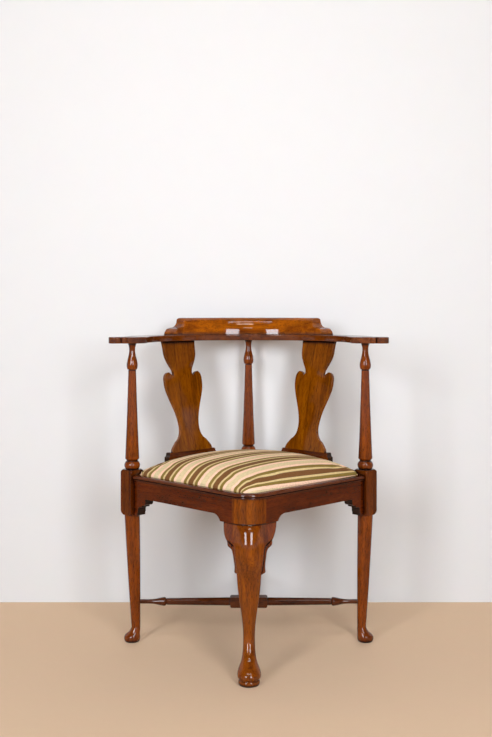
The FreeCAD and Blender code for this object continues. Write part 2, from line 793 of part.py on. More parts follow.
# Plan of the right arm: a ring round the back and side that narrows in front of the post
# and ends in a round lobe, with a small bead between two notches inside the lobe
def arm_plan():
    z = arm_underside
    inner = arm_inner_radius
    outer = arm_outer_radius
    front = -arm_end_front
    lobe = arm_end_radius
    lobe_x = arm_end_reach - lobe
    lobe_y = front + lobe

    # an arc of the given radius touches the ring's outer edge and the lobe
    far = outer + arm_waist_radius
    near = lobe + arm_waist_radius
    reach = math.hypot(lobe_x, lobe_y)
    between = math.acos((far ** 2 + reach ** 2 - near ** 2) / (2 * far * reach))
    turn = math.atan2(lobe_y, lobe_x) + between
    waist = Vector(far * math.cos(turn), far * math.sin(turn), z)
    ring_end = Vector(outer * math.cos(turn), outer * math.sin(turn), z)
    centre = Vector(lobe_x, lobe_y, z)
    lobe_side = centre + (waist - centre) * (lobe / near)
    middle = (ring_end + lobe_side) / 2
    waist_mid = waist + (middle - waist).normalize() * arm_waist_radius

    notch_turn = math.radians(arm_notch_angle)
    notch_b = centre + Vector(-math.cos(notch_turn), -math.sin(notch_turn), 0) * lobe
    notch_a = notch_b - Vector(2 * arm_bead_radius, 0, 0)
    bead_mid = (notch_a + notch_b) / 2 - Vector(0, arm_bead_depth, 0)
    corner = Vector(inner + arm_inner_corner_out, front + arm_corner_set_back, z)
    # the inner edge bends away from the ring, in line with it where it starts
    bend_start = Vector(inner, 0, z)
    across = corner.x - inner
    bend = (across ** 2 + corner.y ** 2) / (2 * across)
    half_turn = math.atan2(across, -corner.y)
    bend_mid = Vector(inner + bend * (1 - math.cos(half_turn)), -bend * math.sin(half_turn), z)
    front_mid = (corner + notch_a) / 2 + Vector(0, arm_end_hollow, 0)
    diagonal = 1 / math.sqrt(2)
    return [
        line(Vector(0, outer, z), Vector(0, inner, z)),
        arc(Vector(0, inner, z), Vector(inner * diagonal, inner * diagonal, z), bend_start),
        arc(bend_start, bend_mid, corner),
        arc(corner, front_mid, notch_a),
        arc(notch_a, bead_mid, notch_b),
        arc(notch_b, centre + Vector(diagonal, -diagonal, 0) * lobe, lobe_side),
        arc(lobe_side, waist_mid, ring_end),
        arc(ring_end, Vector(outer * diagonal, outer * diagonal, z), Vector(0, outer, z)),
    ]


def post_sockets():
    radius = post_tenon_radius + glue_gap
    depth = post_tenon_length + glue_gap
    sockets = []
    for x, y in ((post_reach, 0), (0, post_reach), (-post_reach, 0)):
        sockets.append(Part.makeCylinder(radius, depth, Vector(x, y, arm_underside)))
    return sockets


def crest_screws():
    screws = []
    ring_radius = (crest_inner_radius + crest_outer_radius) / 2
    for angle in crest_screw_angles:
        foot = Vector(0, ring_radius, arm_underside + crest_screw_recess)
        head = Part.makeCone(screw_head_radius, screw_radius, screw_head_height, foot)
        screw = head.fuse(Part.makeCylinder(screw_radius, crest_screw_length, foot)).removeSplitter()
        screws += [turned(screw, angle), turned(screw, -angle)]
    return screws


# The arms meet at the middle of the back in a half lap, the right one below
def make_arms(screws):
    arm = joined_face(arm_plan()).extrude(Vector(0, 0, arm_thickness))
    lap = arm_lap / 2
    inside = arm_inner_radius / 2
    outside = 2 * arm_outer_radius
    middle = arm_underside + arm_thickness / 2
    low = Vector(0, 0, arm_underside)
    full = Part.makeCylinder(arm_outer_radius, arm_thickness, low)
    full = full.cut(Part.makeCylinder(arm_inner_radius, arm_thickness, low))
    arm = arm.fuse(full.common(box(-lap, 0, inside, outside, arm_underside, arm_top)))
    arm = arm.removeSplitter()
    edges = [e for e in arm.Edges if abs(e.BoundBox.ZLength) < 0.01 and e.BoundBox.XMax > lap]
    arm = arm.makeFillet(arm_edge_rounding, edges)
    upper = box(-2 * lap, lap, inside, outside, middle, 2 * arm_top)
    lower = box(-lap, 2 * lap, inside, outside, 0, middle)
    splat_mortise = splat_tenon(True, glue_gap)
    hollow = post_sockets() + [screws, splat_mortise, mirrored(splat_mortise)]
    nodes["arm_right"] = arm.cut([upper] + hollow)
    nodes["arm_left"] = mirrored(arm).cut([lower] + hollow)


# The crest's section: a hollow face rising from the arm to a rolled top edge
def crest_section():
    low = crest_inner_radius
    top = crest_top
    roll = low + crest_lean
    foot = top - crest_roll_height
    back = crest_outer_radius - crest_back_lean
    high = top - crest_back_radius
    near = (1 - 1 / math.sqrt(2)) * crest_back_radius
    face_low = Vector(0, low, arm_top)
    face_mid = Vector(0, low + 0.3 * crest_lean, (arm_top + foot) / 2)
    roll_foot = Vector(0, roll, foot)
    roll_mid = Vector(0, roll + 0.31 * crest_roll_depth, foot + 0.65 * crest_roll_height)
    top_front = Vector(0, roll + crest_roll_depth, top)
    top_back = Vector(0, back - crest_back_radius, top)
    return [
        arc(face_low, face_mid, roll_foot),
        arc(roll_foot, roll_mid, top_front),
        line(top_front, top_back),
        arc(top_back, Vector(0, back - near, top - near), Vector(0, back, high)),
        line(Vector(0, back, high), Vector(0, crest_outer_radius, arm_top)),
        line(Vector(0, crest_outer_radius, arm_top), face_low),
    ]


# What is taken off each end of the crest: a rounded arris, a cove below it and a round nose
def crest_end_cut():
    middle = (crest_inner_radius + crest_outer_radius) / 2
    length = math.radians(crest_end_angle) * middle
    start = -length
    high = 2 * crest_top - arm_top
    beyond = 3 * length
    wall = start + crest_arris
    near = crest_arris / math.sqrt(2)
    below = arm_top - 0.5
    cove_top = Vector(wall, 0, crest_top - crest_cove_below)
    cove_end = Vector(wall + crest_cove_length, 0, arm_top + crest_cove_height)
    nose = Vector(-crest_foot_set_in - crest_nose_length, 0, arm_top + crest_nose_height)
    foot = Vector(-crest_foot_set_in, 0, below)
    cove_mid = Vector(cove_end.x - 0.71 * crest_cove_length, 0,
                      cove_top.z + 0.71 * (cove_end.z - cove_top.z))
    nose_mid = Vector(foot.x - 0.35 * crest_nose_length, 0, arm_top + 0.67 * crest_nose_height)
    edges = [
        line(Vector(start, 0, high), Vector(start, 0, crest_top)),
        arc(Vector(start, 0, crest_top),
            Vector(start + near, 0, crest_top - crest_arris + near),
            Vector(wall, 0, crest_top - crest_arris)),
        line(Vector(wall, 0, crest_top - crest_arris), cove_top),
        arc(cove_top, cove_mid, cove_end),
        line(cove_end, nose),
        arc(nose, nose_mid, foot),
        line(foot, Vector(beyond, 0, below)),
        line(Vector(beyond, 0, below), Vector(beyond, 0, high)),
        line(Vector(beyond, 0, high), Vector(start, 0, high)),
    ]
    cut = moved(joined_face(edges), 0, 0.8 * crest_inner_radius)
    cut = cut.extrude(Vector(0, 1.2 * crest_outer_radius - 0.8 * crest_inner_radius, 0))
    return turned(cut, -crest_half_angle)


def make_crest(screws):
    sweep = 2 * crest_half_angle + 8
    section = joined_face(crest_section())
    crest = turned(section.revolve(Vector(0, 0, 0), Vector(0, 0, 1), sweep), -sweep / 2)
    cut = crest_end_cut()
    nodes["crest_rail"] = crest.cut([cut, mirrored(cut), screws])


# The right splat is drawn upright, x across and z up, and then leaned back and turned to
# stand over the back right rail. Heights are along the leaning board.
def splat_lean():
    return math.degrees(math.atan2(splat_rake, arm_underside - shoe_top))


def lean_splat(shape):
    copy = shape.copy()
    copy.rotate(Vector(0, 0, 0), Vector(1, 0, 0), -splat_lean())
    copy.translate(Vector(0, splat_base_distance, shoe_top))
    return turned(copy, -45)


def splat_length():
    return math.hypot(splat_rake, arm_underside - shoe_top)


# The board's right side from the arm down to the shoe. The ends run past both.
def splat_side():
    top = splat_length()
    a = splat_top_width / 2
    s = splat_shoulder_width / 2
    n = splat_neck_width / 2
    lobe = splat_lobe_width / 2
    tip = lobe - splat_lobe_tip_inset
    w = splat_waist_width / 2
    c = splat_cusp_width / 2
    b = splat_base_width / 2
    shoulder_z = top - splat_shoulder_below
    neck_z = top - splat_neck_below
    notch_z = top - splat_notch_below
    lobe_z = top - splat_lobe_below
    tip_z = top - splat_lobe_tip_below
    waist_z = splat_waist_above
    cusp_z = splat_cusp_above
    neck = shoulder_z - neck_z
    body = lobe_z - waist_z
    flare = waist_z - cusp_z
    notch = profile(n + splat_notch_reach, notch_z)
    side = profile(lobe, lobe_z)
    cusp = profile(c - splat_cusp_step, cusp_z + splat_cusp_step)
    return [
        spline([profile(a, top + turning_overlap), profile(a - 2.6, top - 0.45 * splat_shoulder_below),
                profile(s, shoulder_z), profile((s + n) / 2 + 4.2, shoulder_z - 0.36 * neck),
                profile((s + n) / 2 - 4.2, neck_z + 0.33 * neck), profile(n, neck_z), notch]),
        spline([notch, profile((notch.x + tip) / 2, (notch_z + tip_z) / 2 + 1.8), profile(tip, tip_z),
                profile(lobe - 5.8, tip_z - 4), profile(lobe - 0.8, (tip_z + lobe_z) / 2 - 3), side]),
        spline([side, profile(lobe - 3, lobe_z - 0.22 * body), profile(lobe - 11, lobe_z - 0.4 * body),
                profile(w + 9.5, lobe_z - 0.64 * body), profile(w + 3.5, lobe_z - 0.8 * body),
                profile(w, waist_z), profile(w + 4, waist_z - 0.52 * flare), cusp]),
        line(cusp, profile(c, cusp_z)),
        spline([profile(c, cusp_z), profile((c + b) / 2 + 1, 0.6 * cusp_z),
                profile(b - 1, 0.26 * cusp_z), profile(b, -turning_overlap)]),
    ]


def splat_blank():
    side = splat_side()
    other = [mirrored(edge) for edge in side]
    top = side[0].firstVertex().Point
    low = side[-1].lastVertex().Point
    cap = line(Vector(-top.x, 0, top.z), top)
    foot = line(low, Vector(-low.x, 0, low.z))
    face = joined_face([cap] + side + [foot] + other)
    face.translate(Vector(0, -splat_thickness / 2, 0))
    return face.extrude(Vector(0, splat_thickness, 0))


def splat_tenon(at_top, grow):
    w = splat_tenon_width / 2 + grow
    t = splat_tenon_thickness / 2 + grow
    if at_top:
        z0 = splat_length() - splat_tenon_length
        z1 = splat_length() + splat_tenon_length + grow
    else:
        z0 = -splat_tenon_length - grow
        z1 = splat_tenon_length
    return lean_splat(box(-w, w, -t, t, z0, z1))


def make_splats():
    blank = lean_splat(splat_blank())
    between = box(-post_reach * 2, post_reach * 2, -post_reach * 2, post_reach * 2,
                  shoe_top, arm_underside)
    splat = blank.common(between).fuse([splat_tenon(True, 0), splat_tenon(False, 0)])
    splat = splat.removeSplitter()
    nodes["splat_right"] = splat
    nodes["splat_left"] = mirrored(splat)


# A shoe stands on the lip and the rail. Its ends are coved, and its front has a shallower
# cove under the top edge.
def make_shoes():
    w = shoe_width / 2
    t = shoe_top_width / 2
    z0 = shoe_bottom
    z1 = shoe_top
    cove_z = z1 - shoe_cove
    fillet_z = z1 - shoe_fillet
    front = half - lip_inside + shoe_gap
    low = profile(w - shoe_fillet, cove_z)
    high = profile(t + shoe_fillet, fillet_z)
    middle = (low + high) / 2 - Vector(1, 0, 1) * (shoe_fillet / 2)
    right = [
        line(profile(w, z0), profile(w, cove_z)),
        line(profile(w, cove_z), low),
        arc(low, middle, high),
        line(high, profile(t, fillet_z)),
        line(profile(t, fillet_z), profile(t, z1)),
    ]
    left = [mirrored(edge) for edge in right]
    level = [line(profile(-w, z0), profile(w, z0)), line(profile(-t, z1), profile(t, z1))]
    plate = joined_face(right + left + level).extrude(Vector(0, shoe_depth, 0))
    plate = moved(plate, 0, front)
    c = shoe_front_cove
    over = z1 + shoe_fillet
    corners = [Vector(-w, front, cove_z), Vector(-w, front + c, fillet_z), Vector(-w, front + c, over),
               Vector(-w, front - c, over), Vector(-w, front - c, cove_z)]
    groove = [arc(corners[0], Vector(-w, front + 0.75 * c, cove_z + 0.45 * shoe_cove), corners[1])]
    groove += [line(a, b) for a, b in zip(corners[1:], corners[2:] + corners[:1])]
    groove = joined_face(groove).extrude(Vector(2 * w, 0, 0))
    shoe = turned(plate.cut(groove), -45).cut(splat_tenon(False, glue_gap))
    nodes["splat_shoe_right"] = shoe
    nodes["splat_shoe_left"] = mirrored(shoe)


# Corner blocks are drawn for the corner at +X +Y before the frame is turned
def block_screws(place):
    z = rail_top - corner_block_below - corner_block_height / 2
    across = rail_inside - place
    head_at = rail_inside + block_screw_depth - block_screw_length
    rise = block_screw_stagger / 2
    screws = []
    for point, along in ((Vector(head_at, across, z - rise), Vector(1, 0, 0)),
                         (Vector(across, head_at, z + rise), Vector(0, 1, 0))):
        head = Part.makeCone(screw_head_radius, screw_radius, screw_head_height, point, along)
        shank = Part.makeCylinder(screw_radius, block_screw_length, point, along)
        bore = Part.makeCylinder(screw_head_radius, post_reach, point, along * -1)
        screws.append((head.fuse(shank).removeSplitter(), bore))
    return screws


def make_corner_blocks():
    top = rail_top - corner_block_below
    low = top - corner_block_height
    screws = []
    spare = block_side / 2 - (half - rail_inside)
    for name, angle in (("back", 45), ("right", -45), ("front", -135), ("left", 135)):
        front = name == "front"
        size = front_block_leg if front else corner_block_leg
        place = front_screw_place if front else block_screw_place
        obstacle = stile_side - rail_thickness if front else spare
        near = rail_inside
        wedge = polygon_face([
            Vector(near, near, low), Vector(near - size, near, low), Vector(near, near - size, low),
        ]).extrude(Vector(0, 0, corner_block_height))
        edge = near - obstacle - glue_gap
        wedge = wedge.cut(box(edge, near + 1, edge, near + 1, low - 1, top + 1))
        for screw, bore in block_screws(place):
            wedge = wedge.cut([screw, bore])
            screws.append(turned(screw, angle))
        nodes["corner_block_" + name] = turned(wedge, angle)
    nodes["corner_block_screws"] = Part.makeCompound(screws)
    return nodes["corner_block_screws"]


# Plan of the seat before it is turned: a square notched round three posts and rounded
# at the front corner, which is at -X -Y here
def seat_plan(inset, z):
    s = seat_half - inset
    n = seat_notch - inset
    r = corner_rounding - stile_face - lip_inside - seat_gap - inset
    near = -s + (1 - 1 / math.sqrt(2)) * r
    outline = [(n, -s), (n, -n), (s, -n), (s, n), (n, n), (n, s), (-n, s), (-n, n), (-s, n)]
    points = [Vector(x, y, z) for x, y in outline]
    edges = [line(a, b) for a, b in zip(points, points[1:])]
    edges.append(line(points[-1], Vector(-s, -s + r, z)))
    edges.append(arc(Vector(-s, -s + r, z), Vector(near, near, z), Vector(-s + r, -s, z)))
    edges.append(line(Vector(-s + r, -s, z), points[0]))
    return joined_face(edges)


# A crowned cushion: the plan carried up, cut by a shallow dome and by a roll along each
# side, all drawn in by the inset
def cushion(inset, bottom):
    s = seat_half - inset
    start = lip_top + seat_edge_start - inset
    crown = lip_top + seat_crown - inset
    radius = seat_dome_radius - inset
    block_solid = seat_plan(inset, bottom).extrude(Vector(0, 0, crown + 20 - bottom))
    dome = Part.makeSphere(radius, Vector(0, 0, crown - radius))
    dome = dome.common(box(-s - 5, s + 5, -s - 5, s + 5, bottom - 20, crown + 20))
    roll = seat_edge_roll
    rise = seat_edge_rise
    low = Vector(-s, 0, bottom - 1)
    edge = Vector(-s, 0, start)
    bend = Vector(-s + 0.24 * roll, 0, start + 0.62 * rise)
    inner = Vector(-s + roll, 0, start + rise)
    peak = Vector(0, 0, crown + 4)
    left = [line(low, edge), arc(edge, bend, inner)]
    right = [mirrored(e) for e in left]
    over = arc(inner, peak, Vector(s - roll, 0, start + rise))
    under = line(low, Vector(s, 0, bottom - 1))
    tunnel = moved(joined_face(left + right + [over, under]), 0, -s - 5)
    tunnel = tunnel.extrude(Vector(0, 2 * s + 10, 0))
    return block_solid.common(dome).common(tunnel).common(turned(tunnel, 90))


def seat_members():
    s = seat_half - cover_thickness
    inner = s - seat_member_width
    z0 = seat_bottom
    z1 = z0 + seat_member_thickness
    middle = (z0 + z1) / 2
    across = box(-s, s, -s, -inner, z0, z1)
    lower_ends = [box(-s - 1, -inner, -s - 1, -inner, middle, z1 + 1),
                  box(inner, s + 1, -s - 1, -inner, middle, z1 + 1)]
    upper_ends = [box(-s - 1, -inner, -s - 1, -inner, z0 - 1, middle),
                  box(inner, s + 1, -s - 1, -inner, z0 - 1, middle)]
    shaped = seat_plan(cover_thickness, z0 - 1).extrude(Vector(0, 0, seat_member_thickness + 2))
    return {
        "seat_frame_front_right": across.cut(lower_ends).common(shaped),
        "seat_frame_back_right": turned(across.cut(upper_ends), 90).common(shaped),
        "seat_frame_back_left": turned(across.cut(lower_ends), 180).common(shaped),
        "seat_frame_front_left": turned(across.cut(upper_ends), 270).common(shaped),
    }


def webbing():
    s = seat_half - cover_thickness - web_inset
    z0 = seat_bottom + seat_member_thickness
    spread = 2 * (seat_notch - cover_thickness - web_inset) - web_width
    straps = []
    for i in range(web_count):
        y = -spread / 2 + spread * i / (web_count - 1)
        strap = box(-s, s, y - web_width / 2, y + web_width / 2, z0, z0 + web_thickness)
        straps.append(strap)
        straps.append(moved(turned(strap, 90), 0, 0, web_thickness))
    return straps


def tacks():
    s = seat_half - cover_thickness - dust_cover_inset
    z0 = seat_bottom - dust_cover_thickness
    inset = s - 2 * tack_head_radius
    spread = inset * 1.3
    result = []
    for side in range(4):
        for i in range(tacks_per_side):
            x = -spread / 2 + spread * i / (tacks_per_side - 1)
            head = Part.makeCylinder(tack_head_radius, tack_head_height,
                                     Vector(x, -inset, z0 - tack_head_height))
            shank = Part.makeCylinder(tack_radius, tack_length, Vector(x, -inset, z0 - tack_head_height))
            result.append(turned(head.fuse(shank).removeSplitter(), 90 * side))
    return result


def make_seat():
    frame_top = seat_bottom + seat_member_thickness
    web_top = frame_top + 2 * web_thickness
    pins = tacks()
    for name, member in seat_members().items():
        nodes[name] = member.cut(pins)
    nodes["seat_webbing"] = Part.makeCompound(webbing())
    hessian = seat_plan(cover_thickness + hessian_inset, web_top)
    nodes["seat_hessian"] = hessian.extrude(Vector(0, 0, hessian_thickness))
    outer = cushion(0, seat_bottom)
    inner = cushion(cover_thickness, seat_bottom - 5)
    nodes["seat_cover"] = outer.cut(inner)
    above = box(-half, half, -half, half, frame_top, lip_top + seat_crown)
    space = seat_plan(cover_thickness + hessian_inset, frame_top - 1)
    space = space.extrude(Vector(0, 0, web_top + hessian_thickness - frame_top + 1))
    nodes["seat_pad"] = inner.common(above).cut(space)
    z0 = seat_bottom - dust_cover_thickness
    s = seat_half - cover_thickness - dust_cover_inset
    cloth = box(-s, s, -s, s, z0, seat_bottom)
    stile_clear = -stile_inside + seat_gap
    post_clear = seat_notch - seat_gap
    cloth = cloth.cut(box(-half, stile_clear, -half, stile_clear, z0 - 1, seat_bottom + 1))
    for x0, x1, y0, y1 in ((post_clear, half, -half, -post_clear),
                           (post_clear, half, post_clear, half),
                           (-half, -post_clear, post_clear, half)):
        cloth = cloth.cut(box(x0, x1, y0, y1, z0 - 1, seat_bottom + 1))
    nodes["seat_dust_cover"] = cloth.cut(pins)
    nodes["dust_cover_tacks"] = Part.makeCompound(pins)
    for name in list(nodes):
        if name.startswith("seat_frame") or name in (
                "seat_webbing", "seat_hessian", "seat_cover", "seat_pad",
                "seat_dust_cover", "dust_cover_tacks"):
            nodes[name] = turned(nodes[name], 45)


def write_parts():
    os.makedirs("parts", exist_ok=True)
    for name, shape in nodes.items():
        shape = moved(shape, 0, centre_shift)
        solids = shape.Solids
        valid = all(solid.isValid() and solid.Volume > 0 for solid in solids)
        print(name, len(solids), round(shape.Volume / 1000, 2), "cm3", "" if valid else "NOT VALID")
        whole = solids[0] if len(solids) == 1 else Part.makeCompound(solids)
        whole.exportStep("parts/" + name + ".step")


def main():
    frame_screws = make_corner_blocks()
    top_screws = Part.makeCompound(crest_screws())
    stretcher_holes = make_stretchers()
    make_rails(frame_screws)
    make_lips()
    make_posts(stretcher_holes, frame_screws)
    make_front_leg(stretcher_holes, frame_screws)
    make_ears()
    make_arms(top_screws)
    make_crest(top_screws)
    nodes["crest_screws"] = top_screws
    make_splats()
    make_shoes()
    make_seat()
    write_parts()


main()
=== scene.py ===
from math import atan2, cos, pi, radians, sin, sqrt

import bmesh
import bpy
from mathutils import Euler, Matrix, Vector
from mathutils.bvhtree import BVHTree


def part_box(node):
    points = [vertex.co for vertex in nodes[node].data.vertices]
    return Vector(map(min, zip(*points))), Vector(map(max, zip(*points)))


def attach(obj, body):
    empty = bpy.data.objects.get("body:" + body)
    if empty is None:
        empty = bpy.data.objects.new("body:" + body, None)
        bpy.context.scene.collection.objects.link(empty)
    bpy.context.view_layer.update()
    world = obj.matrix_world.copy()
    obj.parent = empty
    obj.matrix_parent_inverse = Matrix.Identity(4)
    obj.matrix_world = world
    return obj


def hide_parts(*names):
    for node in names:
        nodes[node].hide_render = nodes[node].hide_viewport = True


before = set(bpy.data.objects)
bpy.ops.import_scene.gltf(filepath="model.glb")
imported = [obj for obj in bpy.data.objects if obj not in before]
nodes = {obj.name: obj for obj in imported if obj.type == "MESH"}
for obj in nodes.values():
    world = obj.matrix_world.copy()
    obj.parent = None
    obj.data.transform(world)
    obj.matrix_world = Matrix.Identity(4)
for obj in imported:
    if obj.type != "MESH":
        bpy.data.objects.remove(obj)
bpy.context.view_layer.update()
scene = bpy.context.scene
mm = 0.001
chairCentre = 6.45 * mm                 # middle of the square of the posts, in Y
print("frame loaded:", len(nodes), "nodes")


# Helpers for materials

def linearColour(hexCode):
    channels = [int(hexCode[i:i + 2], 16) / 255 for i in (1, 3, 5)]
    return [c / 12.92 if c <= 0.04045 else ((c + 0.055) / 1.055) ** 2.4 for c in channels] + [1.0]


# one node, with its settings (attributes, sockets by name or number, or a ramp's stops) and
# what comes into it
def addNode(tree, kind, settings=None, links=None):
    node = tree.nodes.new(kind)
    for name, value in (settings or {}).items():
        if name == "stops":
            stops = node.color_ramp.elements
            stops.remove(stops[1])
            for i, (place, colour) in enumerate(value):
                stop = stops.new(place) if i else stops[0]
                stop.position = place
                stop.color = linearColour(colour) if isinstance(colour, str) else [colour] * 3 + [1.0]
        elif isinstance(name, str) and hasattr(node, name):
            setattr(node, name, value)
        else:
            node.inputs[name].default_value = linearColour(value) if isinstance(value, str) else value
    for name, source in (links or {}).items():
        tree.links.new(source, node.inputs[name])
    return node


def newMaterial(name):
    material = bpy.data.materials.new(name)
    material.use_nodes = True
    material.node_tree.nodes.clear()
    return material, material.node_tree


def dress(node, material):
    data = nodes[node].data
    data.materials.clear()
    data.materials.append(material)


# Camera at the photograph's place: level, a little left of the chair's middle
camera = {
    "place": (-0.00694, -2.65455, 0.835),
    "lens": 51.53,
    "shift": -0.0794,
}


def makeCamera():
    data = bpy.data.cameras.new("photo_camera")
    data.sensor_width = 36
    data.lens = camera["lens"]
    data.shift_y = camera["shift"]
    cam = bpy.data.objects.new("photo_camera", data)
    cam.location = camera["place"]
    cam.rotation_euler = (radians(90), 0, 0)
    scene.collection.objects.link(cam)
    scene.camera = cam


# Room: pale floor, pale wall close behind the chair. Two windows stand behind the camera and
# three fanlights above it, a garden door behind the wall, and ceiling lamps over the far floor.
room = {
    "floorColour": "#d4b698",
    "wallColour": "#d9d9d9",
    "wallPlace": 0.36,
    "size": 24.0,
    "height": 5.0,
    "airColour": "#fbfaf8",
    # strength of the light from above, and low down from the room and from the garden behind the wall
    "airAbove": 0.12, "airInTheRoom": 0.80, "airOverGarden": 0.60,
    "lowAir": (0.06, 0.24), "gardenSide": (-0.35, 0.45),      # of a direction's Z, and of its Y
}
paint = {"stippleSize": 60, "stipple": 0.03, "roughness": 0.9, "shine": 0.1}        # size in mm
lamps = {
    # name: place, what it points at, width, height, watts, how widely it fans out, colour
    "window_left": ((-1.61, -2.95, 1.48), (0, 0.1, 0.6), 0.85, 1.35, 29, 120, "#f2f7ff"),
    "window_right": ((1.05, -2.95, 1.48), (0, 0.1, 0.6), 0.85, 1.35, 27, 120, "#f2f7ff"),
    "fanlight_near": ((-0.05, -1.75, 3.00), (0, 0, 0.8), 2.05, 0.18, 12.5, 140, "#f7faff"),
    "fanlight_far": ((0.22, -2.45, 3.10), (0, 0, 0.8), 0.95, 0.12, 9, 180, "#fff6e8"),
    "fanlight_low": ((0.05, -2.90, 2.40), (0, 0, 0.8), 0.57, 0.12, 2.2, 180, "#fff3e0"),
    "garden_door": ((0.80, 3.20, 2.20), (0, 0, 0.5), 3.00, 2.00, 30, 180, "#fbfcff"),
    # these shine straight down on the floor far from the chair
    "ceiling_front": ((0, -7.5, 4.5), (0, -7.5, 0), 24, 8, 600, 70, "#fff8ee"),
    "ceiling_left": ((-8, 4.2, 4.5), (-8, 4.2, 0), 8, 15.4, 390, 70, "#fff8ee"),
    "ceiling_right": ((8, 4.2, 4.5), (8, 4.2, 0), 8, 15.4, 390, 70, "#fff8ee"),
    "ceiling_back": ((0, 7.1, 4.5), (0, 7.1, 0), 8, 9.6, 190, 70, "#fff8ee"),
}


def flatPiece(name, corners):
    mesh = bpy.data.meshes.new(name)
    mesh.from_pydata(corners, [], [range(len(corners))])
    piece = bpy.data.objects.new(name, mesh)
    scene.collection.objects.link(piece)
    return piece


# matt emulsion paint: no gloss, a very faint roller stipple
def mattPaint(name, colour, seenFromBehind):
    material, tree = newMaterial(name)
    coords = addNode(tree, "ShaderNodeTexCoord")
    stipple = addNode(tree, "ShaderNodeTexNoise", {
        "Scale": 1 / (paint["stippleSize"] * mm), "Detail": 3.0}, {"Vector": coords.outputs["Object"]})
    tone = addNode(tree, "ShaderNodeMix", {
        "data_type": "RGBA", "blend_type": "MULTIPLY", 0: paint["stipple"], 6: colour},
        {7: stipple.outputs["Color"]})
    coat = addNode(tree, "ShaderNodeBsdfPrincipled", {
        "Roughness": paint["roughness"], "Specular IOR Level": paint["shine"]},
        {"Base Color": tone.outputs[2]})
    shader = coat.outputs[0]
    if seenFromBehind:              # the wall is open to a view and to lamps from behind it
        clear = addNode(tree, "ShaderNodeBsdfTransparent")
        side = addNode(tree, "ShaderNodeNewGeometry")
        ray = addNode(tree, "ShaderNodeLightPath")
        through = addNode(tree, "ShaderNodeMath", {"operation": "MAXIMUM"},
                          {0: side.outputs["Backfacing"], 1: ray.outputs["Is Shadow Ray"]})
        shader = addNode(tree, "ShaderNodeMixShader", {}, {
            0: through.outputs[0], 1: shader, 2: clear.outputs[0]}).outputs[0]
    addNode(tree, "ShaderNodeOutputMaterial", {}, {"Surface": shader})
    return material


def makeRoom():
    s, y, h = room["size"] / 2, room["wallPlace"], room["height"]
    floor = flatPiece("floor", [(-s, -s, 0), (s, -s, 0), (s, s, 0), (-s, s, 0)])
    floor.data.materials.append(mattPaint("floor_paint", room["floorColour"], False))
    wall = flatPiece("wall", [(-s, y, 0), (s, y, 0), (s, y, h), (-s, y, h)])
    wall.data.materials.append(mattPaint("wall_emulsion", room["wallColour"], True))
    world = bpy.data.worlds.new("room_air")
    scene.world = world
    world.use_nodes = True
    tree = world.node_tree
    tree.nodes.clear()
    way = addNode(tree, "ShaderNodeTexCoord")
    parts = addNode(tree, "ShaderNodeSeparateXYZ", {}, {0: way.outputs["Generated"]})
    horizon = addNode(tree, "ShaderNodeMapRange", {
        "interpolation_type": "SMOOTHSTEP",
        "From Min": room["gardenSide"][0], "From Max": room["gardenSide"][1],
        "To Min": room["airInTheRoom"], "To Max": room["airOverGarden"]}, {"Value": parts.outputs["Y"]})
    strength = addNode(tree, "ShaderNodeMapRange", {
        "interpolation_type": "SMOOTHSTEP", "From Min": room["lowAir"][0], "From Max": room["lowAir"][1],
        "To Max": room["airAbove"]}, {"Value": parts.outputs["Z"], "To Min": horizon.outputs[0]})
    air = addNode(tree, "ShaderNodeBackground", {"Color": room["airColour"]},
                  {"Strength": strength.outputs[0]})
    addNode(tree, "ShaderNodeOutputWorld", {}, {"Surface": air.outputs[0]})
    for name, (place, target, width, height, watts, fan, colour) in lamps.items():
        data = bpy.data.lights.new(name, "AREA")
        data.shape = "RECTANGLE"
        data.size, data.size_y = width, height
        data.energy = watts
        data.spread = radians(fan)
        data.color = linearColour(colour)[:3]
        lamp = bpy.data.objects.new(name, data)
        lamp.location = place
        lamp.rotation_euler = (Vector(target) - Vector(place)).to_track_quat("-Z", "Y").to_euler()
        lamp.visible_camera = False
        scene.collection.objects.link(lamp)


makeCamera()
makeRoom()
scene.view_settings.view_transform = "Standard"
print("camera and room made")


